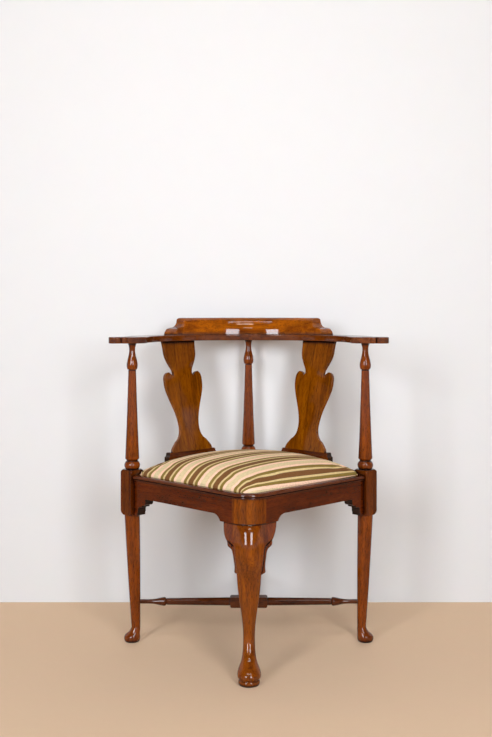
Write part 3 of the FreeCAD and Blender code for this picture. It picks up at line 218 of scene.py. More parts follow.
# Mahogany, sawn, turned or carved, stained red-brown, French polished and waxed over many
# years: straight dark pores run along the grain, broad bands of lighter wood lie under a clear
# gloss, painted shade (and some dust) darkens the hollows, and the edges are rubbed paler.
# The pores are 0.3 mm wide and up to 20 mm long in the wood: drawn 1.8 mm wide so they show.
mahogany = {
    "figureLength": 260, "figureWidth": 15,       # mm, one band of the figure
    "figureStops": (0.30, 0.50, 0.72),            # of the noise: its dark, middle and light
    "poreLength": 15, "poreWidth": 1.8, "poreDepth": 0.10,      # mm, length and width drawn coarse
    "poreTone": [(0.36, 0.42), (0.50, 1.0)], "poreShare": 0.85,
    "mottleSize": 30,                             # mm, patches of thicker stain
    "stainTone": [(0.35, 0.80), (0.62, 1.12)], "stainShare": 0.9,
    "roughness": 0.45, "roughnessSpread": 0.08, "shine": 0.0,   # the wood under the polish
    "gloss": 0.75, "glossRoughness": 0.05,
    # rubbed edges, and painted shade in the hollows: reach in mm, how far open or how flat, how much of
    # the colour
    "edgeRadius": 1.1, "edgeFlatness": (0.995, 0.86), "edgeShare": 0.35,
    "paintedShadeReach": 13, "paintedShadeOpenness": (0.92, 0.48), "paintedShadeShare": 0.96,
    # sawn ends drink more stain: how much, and how squarely a face has to cut the grain
    "endStain": {"rail": 0.95, "shoe": 0.9}, "endSquareness": (0.45, 0.8),
    # the squares of the turned posts: stain, and mm from where to where
    "blockStain": 0.66, "blockFrom": 320, "blockTo": 434, "blockSoftness": 2,
    # painted shade, with some polish and dust, in a quirk, at a joint or under an arm: mm, at which
    # height, how far up and down
    "shadeAndDustLines": {"turned": ((434.5, 3.0), (455.8, 3.2), (683.5, 2.2), (752, 9)), "leg": ((350.8, 2.6),),
               "ear": ((351.2, 3.0),), "lip": ((413.2, 2.0), (408.8, 1.5)), "splat": ((752, 9),),
               "shoe": ((421.5, 5),)},
    "shadeAndDustShare": 0.93, "shadeAndDustCore": 0.2,         # of the colour, and of the reach at full strength
}
woods = {
    # name: dark, middle and light of the figure, colour of a rubbed edge, of painted shade, dust and
    # stained ends
    "turned": ("#562000", "#6f2f01", "#823b02", "#914d1a", "#190502"),
    "leg": ("#5a2500", "#743600", "#884300", "#975519", "#1a0602"),
    "ear": ("#551f00", "#6e2e01", "#813902", "#904c1a", "#180502"),
    "rail": ("#3f1100", "#521b00", "#602300", "#713919", "#100202"),
    "lip": ("#3f1603", "#522206", "#602b0a", "#713f1f", "#100303"),
    "arm": ("#481c02", "#5e2a04", "#6e3506", "#7e481d", "#130402"),
    "crest": ("#6c3000", "#8b4501", "#a25502", "#b2661a", "#210a02"),
    "splat": ("#5a2901", "#753c02", "#894a03", "#985c1b", "#1b0702"),
    "shoe": ("#401702", "#542404", "#632e06", "#73411d", "#100302"),
    "stretcher": ("#381403", "#4a1f06", "#57280a", "#683d1f", "#0d0203"),
}
madeWoods = {}


# how far a point is above or below a level
def awayFromLevel(tree, coords, level):
    parts = addNode(tree, "ShaderNodeSeparateXYZ", {}, {0: coords})
    over = addNode(tree, "ShaderNodeMath", {"operation": "SUBTRACT", 1: level * mm},
                   {0: parts.outputs["Z"]})
    return addNode(tree, "ShaderNodeMath", {"operation": "ABSOLUTE"}, {0: over.outputs[0]}).outputs[0]


def mixedIn(tree, colour, other, share):
    both = addNode(tree, "ShaderNodeMix", {"data_type": "RGBA", 7: other}, {0: share, 6: colour})
    return both.outputs[2]


def multiplied(tree, colour, tone, share):
    both = addNode(tree, "ShaderNodeMix", {"data_type": "RGBA", "blend_type": "MULTIPLY", 0: share},
                   {6: colour, 7: tone.outputs["Color"]})
    return both.outputs[2]


def polishedMahogany(wood, grain):
    if (wood, grain) in madeWoods:
        return madeWoods[wood, grain]
    name = "polished_mahogany_" + wood + ("" if grain == (0, 0, 0) else "_%d_%d" % (grain[1], grain[2]))
    material, tree = newMaterial(name)
    dark, middle, light, edge, shadeDustAndStain = woods[wood]
    look = mahogany
    turn = tuple(radians(a) for a in grain)
    place = addNode(tree, "ShaderNodeTexCoord")
    coords = place.outputs["Object"]

    def noise(length, width, settings):
        space = addNode(tree, "ShaderNodeMapping", {
            "vector_type": "TEXTURE", "Rotation": turn, "Scale": (length * mm, width * mm, width * mm)},
            {"Vector": coords})
        return addNode(tree, "ShaderNodeTexNoise", {"Scale": 1.0, **settings},
                       {"Vector": space.outputs[0]}).outputs["Fac"]

    def smoothShare(value, ends, most):
        return addNode(tree, "ShaderNodeMapRange", {
            "interpolation_type": "SMOOTHSTEP", "From Min": ends[0], "From Max": ends[1],
            "To Max": most}, {"Value": value}).outputs[0]

    figure = noise(look["figureLength"], look["figureWidth"],
                   {"Detail": 3.0, "Roughness": 0.55, "Distortion": 0.7})
    pores = noise(look["poreLength"], look["poreWidth"], {"Detail": 2.0, "Roughness": 0.6})
    mottle = noise(look["mottleSize"] * 2, look["mottleSize"], {"Detail": 2.0})
    bands = addNode(tree, "ShaderNodeValToRGB", {
        "stops": list(zip(look["figureStops"], (dark, middle, light)))}, {"Fac": figure})
    colour = bands.outputs["Color"]
    for source, stops, share in ((pores, look["poreTone"], look["poreShare"]),
                                 (mottle, look["stainTone"], look["stainShare"])):
        tone = addNode(tree, "ShaderNodeValToRGB", {"stops": stops}, {"Fac": source})
        colour = multiplied(tree, colour, tone, share)
    # dark bands at set heights: painted shade in the quirks, at joints and under the arms, with some
    # dust
    for level, reach in look["shadeAndDustLines"].get(wood, ()):
        shadedAndDusty = smoothShare(awayFromLevel(tree, coords, level),
                            (reach * mm, look["shadeAndDustCore"] * reach * mm), look["shadeAndDustShare"])
        colour = mixedIn(tree, colour, shadeDustAndStain, shadedAndDusty)
    if wood in look["endStain"]:
        way = Euler(turn).to_matrix() @ Vector((1, 0, 0))
        facing = addNode(tree, "ShaderNodeVectorMath", {"operation": "DOT_PRODUCT", 1: way},
                         {0: place.outputs["Normal"]})
        square = addNode(tree, "ShaderNodeMath", {"operation": "ABSOLUTE"}, {0: facing.outputs["Value"]})
        stained = smoothShare(square.outputs[0], look["endSquareness"], look["endStain"][wood])
        colour = mixedIn(tree, colour, shadeDustAndStain, stained)
    if wood == "turned":
        centre = (look["blockFrom"] + look["blockTo"]) / 2
        half, fade = (look["blockTo"] - look["blockFrom"]) / 2, look["blockSoftness"]
        tone = addNode(tree, "ShaderNodeMapRange", {
            "From Min": (half - fade) * mm, "From Max": (half + fade) * mm,
            "To Min": look["blockStain"], "To Max": 1.0}, {"Value": awayFromLevel(tree, coords, centre)})
        colour = addNode(tree, "ShaderNodeVectorMath", {"operation": "SCALE"},
                         {0: colour, "Scale": tone.outputs[0]}).outputs["Vector"]
    # an edge is where the rounded normal leaves the flat one
    soft = addNode(tree, "ShaderNodeBevel", {"samples": 4, "Radius": look["edgeRadius"] * mm})
    flat = addNode(tree, "ShaderNodeNewGeometry")
    same = addNode(tree, "ShaderNodeVectorMath", {"operation": "DOT_PRODUCT"},
                   {0: soft.outputs[0], 1: flat.outputs["Normal"]})
    rubbed = addNode(tree, "ShaderNodeMapRange", {
        "From Min": look["edgeFlatness"][0], "From Max": look["edgeFlatness"][1],
        "To Max": look["edgeShare"]}, {"Value": same.outputs["Value"]})
    colour = mixedIn(tree, colour, edge, rubbed.outputs[0])
    # painted shade: ambient occlusion darkens the colour in hollows and close under other pieces
    openness = addNode(tree, "ShaderNodeAmbientOcclusion", {
        "samples": 6, "Distance": look["paintedShadeReach"] * mm})
    paintedShadeMask = smoothShare(openness.outputs["AO"], look["paintedShadeOpenness"], look["paintedShadeShare"])
    colour = mixedIn(tree, colour, shadeDustAndStain, paintedShadeMask)
    rough = addNode(tree, "ShaderNodeMapRange", {
        "From Min": 0.3, "From Max": 0.7, "To Min": look["roughness"] + look["roughnessSpread"],
        "To Max": look["roughness"] - look["roughnessSpread"]}, {"Value": mottle})
    bump = addNode(tree, "ShaderNodeBump", {"Strength": 0.5, "Distance": look["poreDepth"] * mm},
                   {"Height": pores, "Normal": soft.outputs[0]})
    wax = addNode(tree, "ShaderNodeBsdfPrincipled", {
        "Specular IOR Level": look["shine"], "Coat Weight": look["gloss"],
        "Coat Roughness": look["glossRoughness"], "Coat IOR": 1.5},
        {"Base Color": colour, "Roughness": rough.outputs[0], "Normal": bump.outputs[0],
         "Coat Normal": soft.outputs[0]})
    addNode(tree, "ShaderNodeOutputMaterial", {}, {"Surface": wax.outputs[0]})
    madeWoods[wood, grain] = material
    return material


# which way the grain runs, as the turn in degrees that brings X onto it
upright = (0, -90, 0)
alongX = (0, 0, 0)
alongY = (0, 0, 90)
rightOblique = (0, 0, 45)               # the front right and back left sides
leftOblique = (0, 0, -45)
rightSplat, leftSplat = (0, -78.8, 45), (0, -78.8, 135)         # the splats lean back by 11.2
sides = {"front_right": rightOblique, "back_left": rightOblique,
         "front_left": leftOblique, "back_right": leftOblique}
woodOf = {
    "post_left": ("turned", upright), "post_right": ("turned", upright),
    "post_back": ("turned", upright), "front_leg": ("leg", upright),
    "knee_ear_left": ("leg", upright), "knee_ear_right": ("leg", upright),
    "side_stretcher": ("stretcher", alongX), "long_stretcher": ("stretcher", alongY),
    "arm_left": ("arm", rightOblique), "arm_right": ("arm", leftOblique),
    "crest_rail": ("crest", alongX),
    "splat_right": ("splat", rightSplat), "splat_left": ("splat", leftSplat),
    "splat_shoe_right": ("shoe", leftOblique), "splat_shoe_left": ("shoe", rightOblique),
}
for side, grain in sides.items():
    woodOf["seat_rail_" + side] = ("rail", grain)
    woodOf["lip_moulding_" + side] = ("lip", grain)
for name, (wood, grain) in woodOf.items():
    dress(name, polishedMahogany(wood, grain))
print("mahogany on", len(woodOf), "nodes")


# Carved ears beside the knee. Each carries the knee's face on along the rail. A deep cut parts
# the face from a small scroll, and from a narrow rounded strip with a hooked end that runs down
# beside the leg. Points in mm: how far out from the chair's middle, and height.
ears = {
    "right": {
        "edge": ((63.4, 350.9), (62.6, 340), (59.7, 326), (55.2, 315.5), (53.0, 311), (53.2, 306),
                 (51.8, 299.8), (47.0, 296.8), (42.2, 293.2), (40.0, 284), (38.0, 269), (36.9, 254),
                 (37.2, 244), (38.0, 240), (37.0, 236.8), (34.5, 235.4), (30.0, 235.1)),
        "cut": ((68.0, 320), (58.0, 315.3), (48.7, 310.5), (41.5, 305.7), (36.9, 300.2), (35.1, 293.8),
                (34.1, 280), (31.6, 257.5), (29.0, 241), (28.4, 230)),
        "scroll": (45.4, 303.0),
    },
    "left": {
        "edge": ((58.4, 350.9), (58.4, 340), (57.3, 324), (52.6, 313.5), (49.6, 308), (49.8, 303),
                 (48.6, 298.4), (44.0, 295.8), (39.3, 292.6), (37.0, 283), (34.4, 265), (32.9, 251),
                 (33.3, 242.5), (34.0, 239.5), (32.8, 237.2), (30.5, 236.2), (25.6, 236)),
        "cut": ((64.0, 318), (55.4, 313.4), (47.0, 309.4), (40.0, 306.0), (34.4, 301.6), (31.4, 295.4),
                (29.0, 279), (26.6, 258), (24.8, 241), (24.2, 230)),
        "scroll": (42.4, 302.4),
    },
    "thickness": 18.0,
    "cutDepth": 5.5, "faceRounding": 4.5, "arrisRounding": 2.4,
    "stripCrown": 3.4, "buttonRadius": 3.6, "buttonHeight": 2.2, "ringDepth": 1.0,
    "legOverlap": 2.0, "proud": 0.2,        # how it runs out on the leg's face
    "searchFrom": -198, "searchSteps": 40, "flatness": 0.05,    # mm, search for the leg's face
    "rows": 110, "columns": 34,
}


# corners of a run of points cut away again and again until it is a smooth line
def roundedLine(points, times=3):
    line = [Vector(point) for point in points]
    for _ in range(times):
        cuts = [q for a, b in zip(line, line[1:]) for q in (a.lerp(b, 0.25), a.lerp(b, 0.75))]
        line = [line[0]] + cuts + [line[-1]]
    return line


def acrossAt(line, height):
    for a, b in zip(line, line[1:]):
        if b.y <= height <= a.y:
            return a.x + (b.x - a.x) * (a.y - height) / max(a.y - b.y, 1e-9)
    return line[0].x if height > line[0].y else line[-1].x


def awayFrom(line, point):
    nearest = 1e9
    for a, b in zip(line, line[1:]):
        run = b - a
        along = max(0.0, min(1.0, (point - a).dot(run) / max(run.dot(run), 1e-12)))
        nearest = min(nearest, (point - a - run * along).length)
    return nearest


def quarterRound(away, width):
    inside = max(0.0, min(1.0, 1 - away / width))
    return 1 - sqrt(1 - inside * inside)


# depth of the carving below the knee's face, in mm, at a point of the face
def carvedDepth(point, edge, cut, scroll):
    toCut, toEdge = awayFrom(cut, point), awayFrom(edge, point)
    if point.y > cut[0].y or point.x < acrossAt(cut, point.y):
        return max(ears["cutDepth"] * quarterRound(toCut, ears["faceRounding"]),
                   ears["arrisRounding"] * quarterRound(toEdge, 1.4 * ears["arrisRounding"]))
    place = 2 * toCut / max(toCut + toEdge, 1e-6) - 1
    depth = ears["cutDepth"] - ears["stripCrown"] * sqrt(max(0.0, 1 - place * place))
    away, button = (point - scroll).length, ears["buttonRadius"]
    if away < button:
        depth -= ears["buttonHeight"] * sqrt(1 - (away / button) ** 2)
    elif away < 1.7 * button:
        depth += ears["ringDepth"] * sin(pi * (away - button) / (0.7 * button)) ** 2
    return depth


def makeEar(side):
    sign = 1 if side == "right" else -1
    out, along = Vector((sign, -1, 0)) / sqrt(2), Vector((sign, 1, 0)) / sqrt(2)
    middle = Vector((0, chairCentre, 0))
    legSkin = BVHTree.FromObject(nodes["front_leg"], bpy.context.evaluated_depsgraph_get())
    # sideways places are turned into places along the rail's face
    edge, cut = ([Vector((x * sqrt(2), z)) for x, z in roundedLine(ears[side][key])]
                 for key in ("edge", "cut"))
    scroll = Vector((ears[side]["scroll"][0] * sqrt(2), ears[side]["scroll"][1]))
    columns, rows = ears["columns"], ears["rows"]
    high, low = edge[0].y, edge[-1].y
    bm = bmesh.new()
    front, back = [], []
    for i in range(rows + 1):
        z = high + (low - high) * i / rows
        reach = []
        for step in range(ears["searchSteps"]):
            place = (ears["searchFrom"] + step) * mm
            start = middle + Vector((0, 0, z * mm)) + along * place + out * 0.3
            hit = legSkin.ray_cast(start, -out)[0]
            reach.append(((hit - middle).dot(out) if hit else 0, place))
        face = max(far for far, place in reach) / mm
        flatEnd = max(place for far, place in reach if far > (face - ears["flatness"]) * mm) / mm
        begin = flatEnd + face - ears["legOverlap"]
        end = acrossAt(edge, z)
        front.append([])
        back.append([])
        for j in range(columns + 1):
            w = begin + (end - begin) * j / columns
            depth = carvedDepth(Vector((w, z)), edge, cut, scroll)
            ease = min(1.0, (w - begin) / (3 * ears["legOverlap"]))
            depth -= ears["proud"] * (2 * ease * ease * (3 - 2 * ease) - 1)
            for sheet, far in ((front, face - depth), (back, face - ears["thickness"])):
                where = middle + out * far * mm + along * (w - far) * mm
                sheet[-1].append(bm.verts.new((where.x, where.y, z * mm)))
    for sheet in (front, back):
        for a, b in zip(sheet, sheet[1:]):
            for j in range(columns):
                bm.faces.new((a[j], a[j + 1], b[j + 1], b[j]))
    for rim, under in ((front[0], back[0]), (front[-1], back[-1]),
                       ([row[0] for row in front], [row[0] for row in back]),
                       ([row[-1] for row in front], [row[-1] for row in back])):
        for a1, b1, a2, b2 in zip(rim, rim[1:], under, under[1:]):
            bm.faces.new((a1, b1, b2, a2))
    bmesh.ops.recalc_face_normals(bm, faces=bm.faces)
    mesh = bpy.data.meshes.new("carved_ear_" + side)
    bm.to_mesh(mesh)
    bm.free()
    mesh.shade_smooth()
    mesh.set_sharp_from_angle(angle=radians(45))
    mesh.materials.append(polishedMahogany("ear", upright))
    ear = bpy.data.objects.new("carved_ear_" + side, mesh)
    scene.collection.objects.link(ear)
    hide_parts("knee_ear_" + side)
    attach(ear, "chair_frame")


for side in ("right", "left"):
    makeEar(side)
print("ears carved")


# Beech, sawn and left bare: pale pinkish brown, matt, with short darker flecks along the grain
beech = {"pale": "#c9a37a", "dark": "#a97f56", "fleckLength": 14, "fleckWidth": 2.2, "fleckDepth": 0.2,
         "roughness": 0.7}


def bareBeech(grain):
    key = ("beech", grain)
    if key in madeWoods:
        return madeWoods[key]
    material, tree = newMaterial("sawn_beech_%d" % grain[2])
    coords = addNode(tree, "ShaderNodeTexCoord").outputs["Object"]
    turn = tuple(radians(a) for a in grain)
    space = addNode(tree, "ShaderNodeMapping", {
        "vector_type": "TEXTURE", "Rotation": turn,
        "Scale": (beech["fleckLength"] * mm, beech["fleckWidth"] * mm, beech["fleckWidth"] * mm)},
        {"Vector": coords})
    flecks = addNode(tree, "ShaderNodeTexNoise", {"Scale": 1.0, "Detail": 3.0},
                     {"Vector": space.outputs[0]})
    tone = addNode(tree, "ShaderNodeValToRGB", {
        "stops": [(0.35, beech["dark"]), (0.6, beech["pale"])]}, {"Fac": flecks.outputs["Fac"]})
    bump = addNode(tree, "ShaderNodeBump", {"Strength": 0.4, "Distance": beech["fleckDepth"] * mm},
                   {"Height": flecks.outputs["Fac"]})
    wood = addNode(tree, "ShaderNodeBsdfPrincipled", {"Roughness": beech["roughness"]},
                   {"Base Color": tone.outputs["Color"], "Normal": bump.outputs[0]})
    addNode(tree, "ShaderNodeOutputMaterial", {}, {"Surface": wood.outputs[0]})
    madeWoods[key] = material
    return material


for name in ("corner_block_back", "corner_block_front"):
    dress(name, bareBeech(alongX))
for name in ("corner_block_left", "corner_block_right"):
    dress(name, bareBeech(alongY))
for side, grain in sides.items():
    dress("seat_frame_" + side, bareBeech(grain))

# Drawn steel: screws plain and slightly dulled, tacks blued dark. Marks about 1 mm apart.
metals = {
    # name: colour, roughness, nodes
    "dulled_steel_screw": ("#a9a6a0", 0.34, ("corner_block_screws", "crest_screws")),
    "blued_steel_tack": ("#3c3f47", 0.42, ("dust_cover_tacks",)),
}
for name, (colour, roughness, where) in metals.items():
    material, tree = newMaterial(name)
    coords = addNode(tree, "ShaderNodeTexCoord").outputs["Object"]
    marks = addNode(tree, "ShaderNodeTexNoise", {"Scale": 1 / mm, "Detail": 2.0}, {"Vector": coords})
    rough = addNode(tree, "ShaderNodeMapRange", {"To Min": roughness - 0.1, "To Max": roughness + 0.12},
                    {"Value": marks.outputs["Fac"]})
    tone = addNode(tree, "ShaderNodeMix", {
        "data_type": "RGBA", "blend_type": "MULTIPLY", 0: 0.3, 6: colour}, {7: marks.outputs["Color"]})
    metal = addNode(tree, "ShaderNodeBsdfPrincipled", {"Metallic": 1.0},
                    {"Base Color": tone.outputs[2], "Roughness": rough.outputs[0]})
    addNode(tree, "ShaderNodeOutputMaterial", {}, {"Surface": metal.outputs[0]})
    for node in where:
        dress(node, material)

# Plain woven cloths: threads over and under each other, drawn at a spacing that shows
cloths = {
    # name: thread colour, gap colour, spacing in mm, turn of the weave, nodes
    "woven_jute_webbing": ("#b08f5c", "#6f552f", 3.0, 45, ("seat_webbing",)),
    "hessian_cloth": ("#b89a68", "#6e5630", 2.4, 45, ("seat_hessian",)),
    "black_lining_cotton": ("#1d1c1d", "#0c0c0d", 2.0, 45, ("seat_dust_cover",)),
    "hair_stuffing": ("#5b5148", "#2e2823", 2.0, 0, ("seat_pad",)),
}
oneWave = 2 * pi / 20                   # the scale at which the wave texture repeats once in each 1
threadDepth = 0.4                       # mm
clothMaterials = {}
for name, (thread, gap, spacing, turn, where) in cloths.items():
    material, tree = newMaterial(name)
    coords = addNode(tree, "ShaderNodeTexCoord").outputs["Object"]
    plan = addNode(tree, "ShaderNodeMapping", {
        "vector_type": "TEXTURE", "Rotation": (0, 0, radians(turn)), "Scale": (spacing * mm,) * 3},
        {"Vector": coords})
    ribs = [addNode(tree, "ShaderNodeTexWave", {
        "bands_direction": axis, "Scale": oneWave, "Distortion": 0.6, "Detail": 1.0},
        {"Vector": plan.outputs[0]}) for axis in ("X", "Y")]
    weave = addNode(tree, "ShaderNodeMath", {"operation": "MULTIPLY"},
                    {0: ribs[0].outputs["Fac"], 1: ribs[1].outputs["Fac"]})
    tone = addNode(tree, "ShaderNodeValToRGB", {"stops": [(0.05, gap), (0.5, thread)]},
                   {"Fac": weave.outputs[0]})
    bump = addNode(tree, "ShaderNodeBump", {"Strength": 0.6, "Distance": threadDepth * mm},
                   {"Height": weave.outputs[0]})
    cloth = addNode(tree, "ShaderNodeBsdfPrincipled", {"Roughness": 0.9, "Specular IOR Level": 0.2},
                    {"Base Color": tone.outputs["Color"], "Normal": bump.outputs[0]})
    addNode(tree, "ShaderNodeOutputMaterial", {}, {"Surface": cloth.outputs[0]})
    clothMaterials[name] = material
    for node in where:
        dress(node, material)
print("beech, steel and inner cloths done")


# Striped seat cushion. Cotton and wool, flat woven in stripes: matt, soft colours, a fine rib
# across the stripes. The ribs are 0.8 mm apart in the cloth: drawn 3 mm apart so they show.
stripes = {
    # colour and width in mm from the middle of a brown stripe to the middle of the light band
    "run": (("#7a5230", 8.6), ("#dcc18a", 6.2), ("#877037", 9.8), ("#fccfb0", 9.1), ("#e0c89c", 9.1)),
    "brownMiddle": 15,                  # mm from the seat's middle
    "askew": 0.04,                      # how far the cloth was turned when it was put on, rise over run
    # mm: the ribs, how soft a stripe's edge is, how far it wanders and over what length
    "ribSpacing": 3.0, "ribDepth": 0.25, "blur": 0.5, "raggedness": 0.6, "raggedLength": 3,
    "ribTone": [(0.1, 0.86), (0.7, 1.0)], "slubTone": [(0.3, 0.84), (0.65, 1.04)],
    "roughness": 0.9, "shine": 0.06,
}


def stripedCloth():
    material, tree = newMaterial("striped_cotton_wool_cloth")
    half = sum(width for _, width in stripes["run"])
    place = addNode(tree, "ShaderNodeUVMap", {"uv_map": "cloth_place"})
    parts = addNode(tree, "ShaderNodeSeparateXYZ", {}, {0: place.outputs[0]})
    ragged = addNode(tree, "ShaderNodeTexNoise", {
        "Scale": 1 / (stripes["raggedLength"] * mm), "Detail": 1.0}, {"Vector": place.outputs[0]})
    shift = addNode(tree, "ShaderNodeMapRange", {
        "To Min": (-stripes["brownMiddle"] - stripes["raggedness"]) * mm,
        "To Max": (-stripes["brownMiddle"] + stripes["raggedness"]) * mm},
        {"Value": ragged.outputs["Fac"]})
    across = addNode(tree, "ShaderNodeMath", {"operation": "ADD"},
                     {0: parts.outputs["Y"], 1: shift.outputs[0]})
    folded = addNode(tree, "ShaderNodeMath", {"operation": "PINGPONG", 1: half * mm},
                     {0: across.outputs[0]})
    share = addNode(tree, "ShaderNodeMath", {"operation": "DIVIDE", 1: half * mm},
                    {0: folded.outputs[0]})
    stops, edge = [], 0.0
    for i, (colour, width) in enumerate(stripes["run"]):
        if i:
            stops.append(((edge + stripes["blur"]) / half, colour))
        edge += width
        stops.append(((edge - stripes["blur"]) / half, colour))
    run = addNode(tree, "ShaderNodeValToRGB", {"stops": stops}, {"Fac": share.outputs[0]})
    colour = run.outputs["Color"]
    weave = addNode(tree, "ShaderNodeMapping", {
        "vector_type": "TEXTURE", "Scale": (stripes["ribSpacing"] * mm,) * 3},
        {"Vector": place.outputs[0]})
    ribs = addNode(tree, "ShaderNodeTexWave", {
        "bands_direction": "X", "Scale": oneWave, "Distortion": 1.2, "Detail": 2.0, "Detail Scale": 1.5},
        {"Vector": weave.outputs[0]})
    slub = addNode(tree, "ShaderNodeTexNoise", {"Scale": 0.6, "Detail": 3.0},
                   {"Vector": weave.outputs[0]})
    for source, stops in ((ribs, stripes["ribTone"]), (slub, stripes["slubTone"])):
        tone = addNode(tree, "ShaderNodeValToRGB", {"stops": stops}, {"Fac": source.outputs["Fac"]})
        colour = multiplied(tree, colour, tone, 1.0)
    height = addNode(tree, "ShaderNodeMath", {"operation": "ADD"},
                     {0: ribs.outputs["Fac"], 1: slub.outputs["Fac"]})
    bump = addNode(tree, "ShaderNodeBump", {"Strength": 0.6, "Distance": stripes["ribDepth"] * mm},
                   {"Height": height.outputs[0]})
    cloth = addNode(tree, "ShaderNodeBsdfPrincipled", {
        "Roughness": stripes["roughness"], "Specular IOR Level": stripes["shine"]},
        {"Base Color": colour, "Normal": bump.outputs[0]})
    addNode(tree, "ShaderNodeOutputMaterial", {}, {"Surface": cloth.outputs[0]})
    return material


cushion = {                             # lengths in mm
    "voxel": 5.0, "heldBelow": 415.0, "pressure": 4.0, "frames": 20,
    # the most that the cloth swells, its share beside the lip, and how far above that all of it
    "mostSwell": 3.0, "swellAtLip": 0.3, "swellRise": 12.0,
    "bottom": 409.6,                    # lower edge of the cloth
    "hemTurn": 1.82,                    # how far the hem is turned in
    "underside": 427.8,                 # top of the hollow for the frame, webbing and hessian
    "lipTop": 421.5,                    # top of the lip round the seat
    "shoulderReach": 94.0, "shoulderFall": 0.5,         # in from the edge, share of the height
    "edgeMiddle": 170.0, "edgeRadius": 37.0, "edgeHeight": 412.0,     # the roll along each side
}


# a place along the seat's two directions, from its middle
def alongSides(place):
    y = place.y - chairCentre
    return (place.x + y) / sqrt(2), (place.x - y) / sqrt(2)


def fromSides(p, q, height):
    return (p + q) / sqrt(2), (p - q) / sqrt(2) + chairCentre, height


def applied(piece):
    shape = bpy.data.meshes.new_from_object(piece.evaluated_get(bpy.context.evaluated_depsgraph_get()))
    piece.modifiers.clear()
    piece.data = shape


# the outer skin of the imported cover, closed underneath, as the cushion's start
def startShape(piece):
    bm = bmesh.new()
    bm.from_mesh(piece.data)
    bmesh.ops.remove_doubles(bm, verts=bm.verts, dist=0.02 * mm)
    middle = Vector((0, chairCentre, 400 * mm))         # below the cover's hollow
    inner = [f for f in bm.faces if f.normal.dot(f.calc_center_median() - middle) < 0]
    bmesh.ops.delete(bm, geom=inner, context="FACES")
    rim = [e for e in bm.edges if e.is_boundary]
    bmesh.ops.holes_fill(bm, edges=rim, sides=0)
    bm.to_mesh(piece.data)
    bm.free()


def swell(piece):
    remesh = piece.modifiers.new("even", "REMESH")
    remesh.mode = "VOXEL"
    remesh.voxel_size = cushion["voxel"] * mm
    applied(piece)
    lowerShoulders(piece)
    start = [v.co.copy() for v in piece.data.vertices]
    held = piece.vertex_groups.new(name="held")
    low = [v.index for v in piece.data.vertices if v.co.z < cushion["heldBelow"] * mm]
    held.add(low, 1.0, "REPLACE")
    cloth = piece.modifiers.new("cloth", "CLOTH")
    cloth.settings.quality = 4
    cloth.settings.use_pressure = True
    cloth.settings.uniform_pressure_force = cushion["pressure"]
    cloth.settings.vertex_group_mass = "held"
    cloth.settings.effector_weights.gravity = 0
    cloth.collision_settings.use_collision = False
    for i in range(1, cushion["frames"] + 1):
        scene.frame_set(i)
    applied(piece)
    scene.frame_set(1)
    for v, old in zip(piece.data.vertices, start):
        move = v.co - old
        rise = (old.z / mm - cushion["lipTop"]) / cushion["swellRise"]
        most = cushion["mostSwell"] * mm * min(1.0, max(cushion["swellAtLip"], rise))
        if move.length > most:
            v.co = old + move.normalized() * most


# the stuffing thins towards the edges, where the cloth is pulled down
def lowerShoulders(piece):
    diagonals = [alongSides(v.co) for v in piece.data.vertices]
    edge = max(max(abs(p), abs(q)) for p, q in diagonals)
    reach = cushion["shoulderReach"] * mm
    for v, pair in zip(piece.data.vertices, diagonals):
        falls = [cushion["shoulderFall"] * max(0.0, 1 - (edge - abs(side)) / reach) ** 3
                 for side in pair]
        over = v.co.z - cushion["lipTop"] * mm
        if over > 0:
            v.co.z -= over * (falls[0] ** 4 + falls[1] ** 4) ** 0.25


# how far along the cloth, from the seat's middle and over the roll of its edge
def lengthOverEdge(across, height):
    edge, radius, low = (cushion[k] * mm for k in ("edgeMiddle", "edgeRadius", "edgeHeight"))
    beyond = abs(across) - edge
    if beyond <= 0:
        return across
    if height > low:
        length = edge + radius * atan2(beyond, height - low)
    else:
        length = edge + radius * pi / 2 + low - height
    return length if across > 0 else -length


def makeCushion():
    piece = bpy.data.objects.new("striped_cushion", nodes["seat_cover"].data.copy())
    scene.collection.objects.link(piece)
    startShape(piece)
    swell(piece)
    smooth = piece.modifiers.new("smooth", "SMOOTH")
    smooth.iterations = 3
    piece.modifiers.new("fine", "SUBSURF").levels = 1
    applied(piece)
    bm = bmesh.new()
    bm.from_mesh(piece.data)
    bmesh.ops.bisect_plane(bm, geom=bm.verts[:] + bm.edges[:] + bm.faces[:], dist=1e-6,
                           plane_co=(0, 0, cushion["bottom"] * mm), plane_no=(0, 0, 1), clear_inner=True)
    rim = [e for e in bm.edges if e.is_boundary]
    grown = bmesh.ops.extrude_edge_only(bm, edges=rim)["geom"]
    turnUp = [g for g in grown if isinstance(g, bmesh.types.BMVert)]
    for v in turnUp:
        side = Vector((v.co.x, v.co.y - chairCentre, 0))
        v.co -= side.normalized() * cushion["hemTurn"] * mm
    inner = [g for g in grown
             if isinstance(g, bmesh.types.BMEdge) and all(v in turnUp for v in g.verts)]
    grown = bmesh.ops.extrude_edge_only(bm, edges=inner)["geom"]
    for g in grown:
        if isinstance(g, bmesh.types.BMVert):
            g.co.z = cushion["underside"] * mm
    top = [g for g in grown if isinstance(g, bmesh.types.BMEdge) and g.is_boundary]
    bmesh.ops.holes_fill(bm, edges=top, sides=0)
    bmesh.ops.recalc_face_normals(bm, faces=bm.faces)
    layer = bm.loops.layers.uv.new("cloth_place")
    for face in bm.faces:
        face.smooth = True
        for loop in face.loops:
            place = loop.vert.co
            along, across = (lengthOverEdge(side, place.z) for side in alongSides(place))
            loop[layer].uv = (along + stripes["askew"] * across, across - stripes["askew"] * along)
    bm.to_mesh(piece.data)
    bm.free()
    piece.data.materials.clear()
    piece.data.materials.append(stripedCloth())
    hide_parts("seat_cover", "seat_pad")
    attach(piece, "slip_seat")
    print("cushion made:", len(piece.data.vertices), "points")


makeCushion()


# Cloths and webbing inside the seat

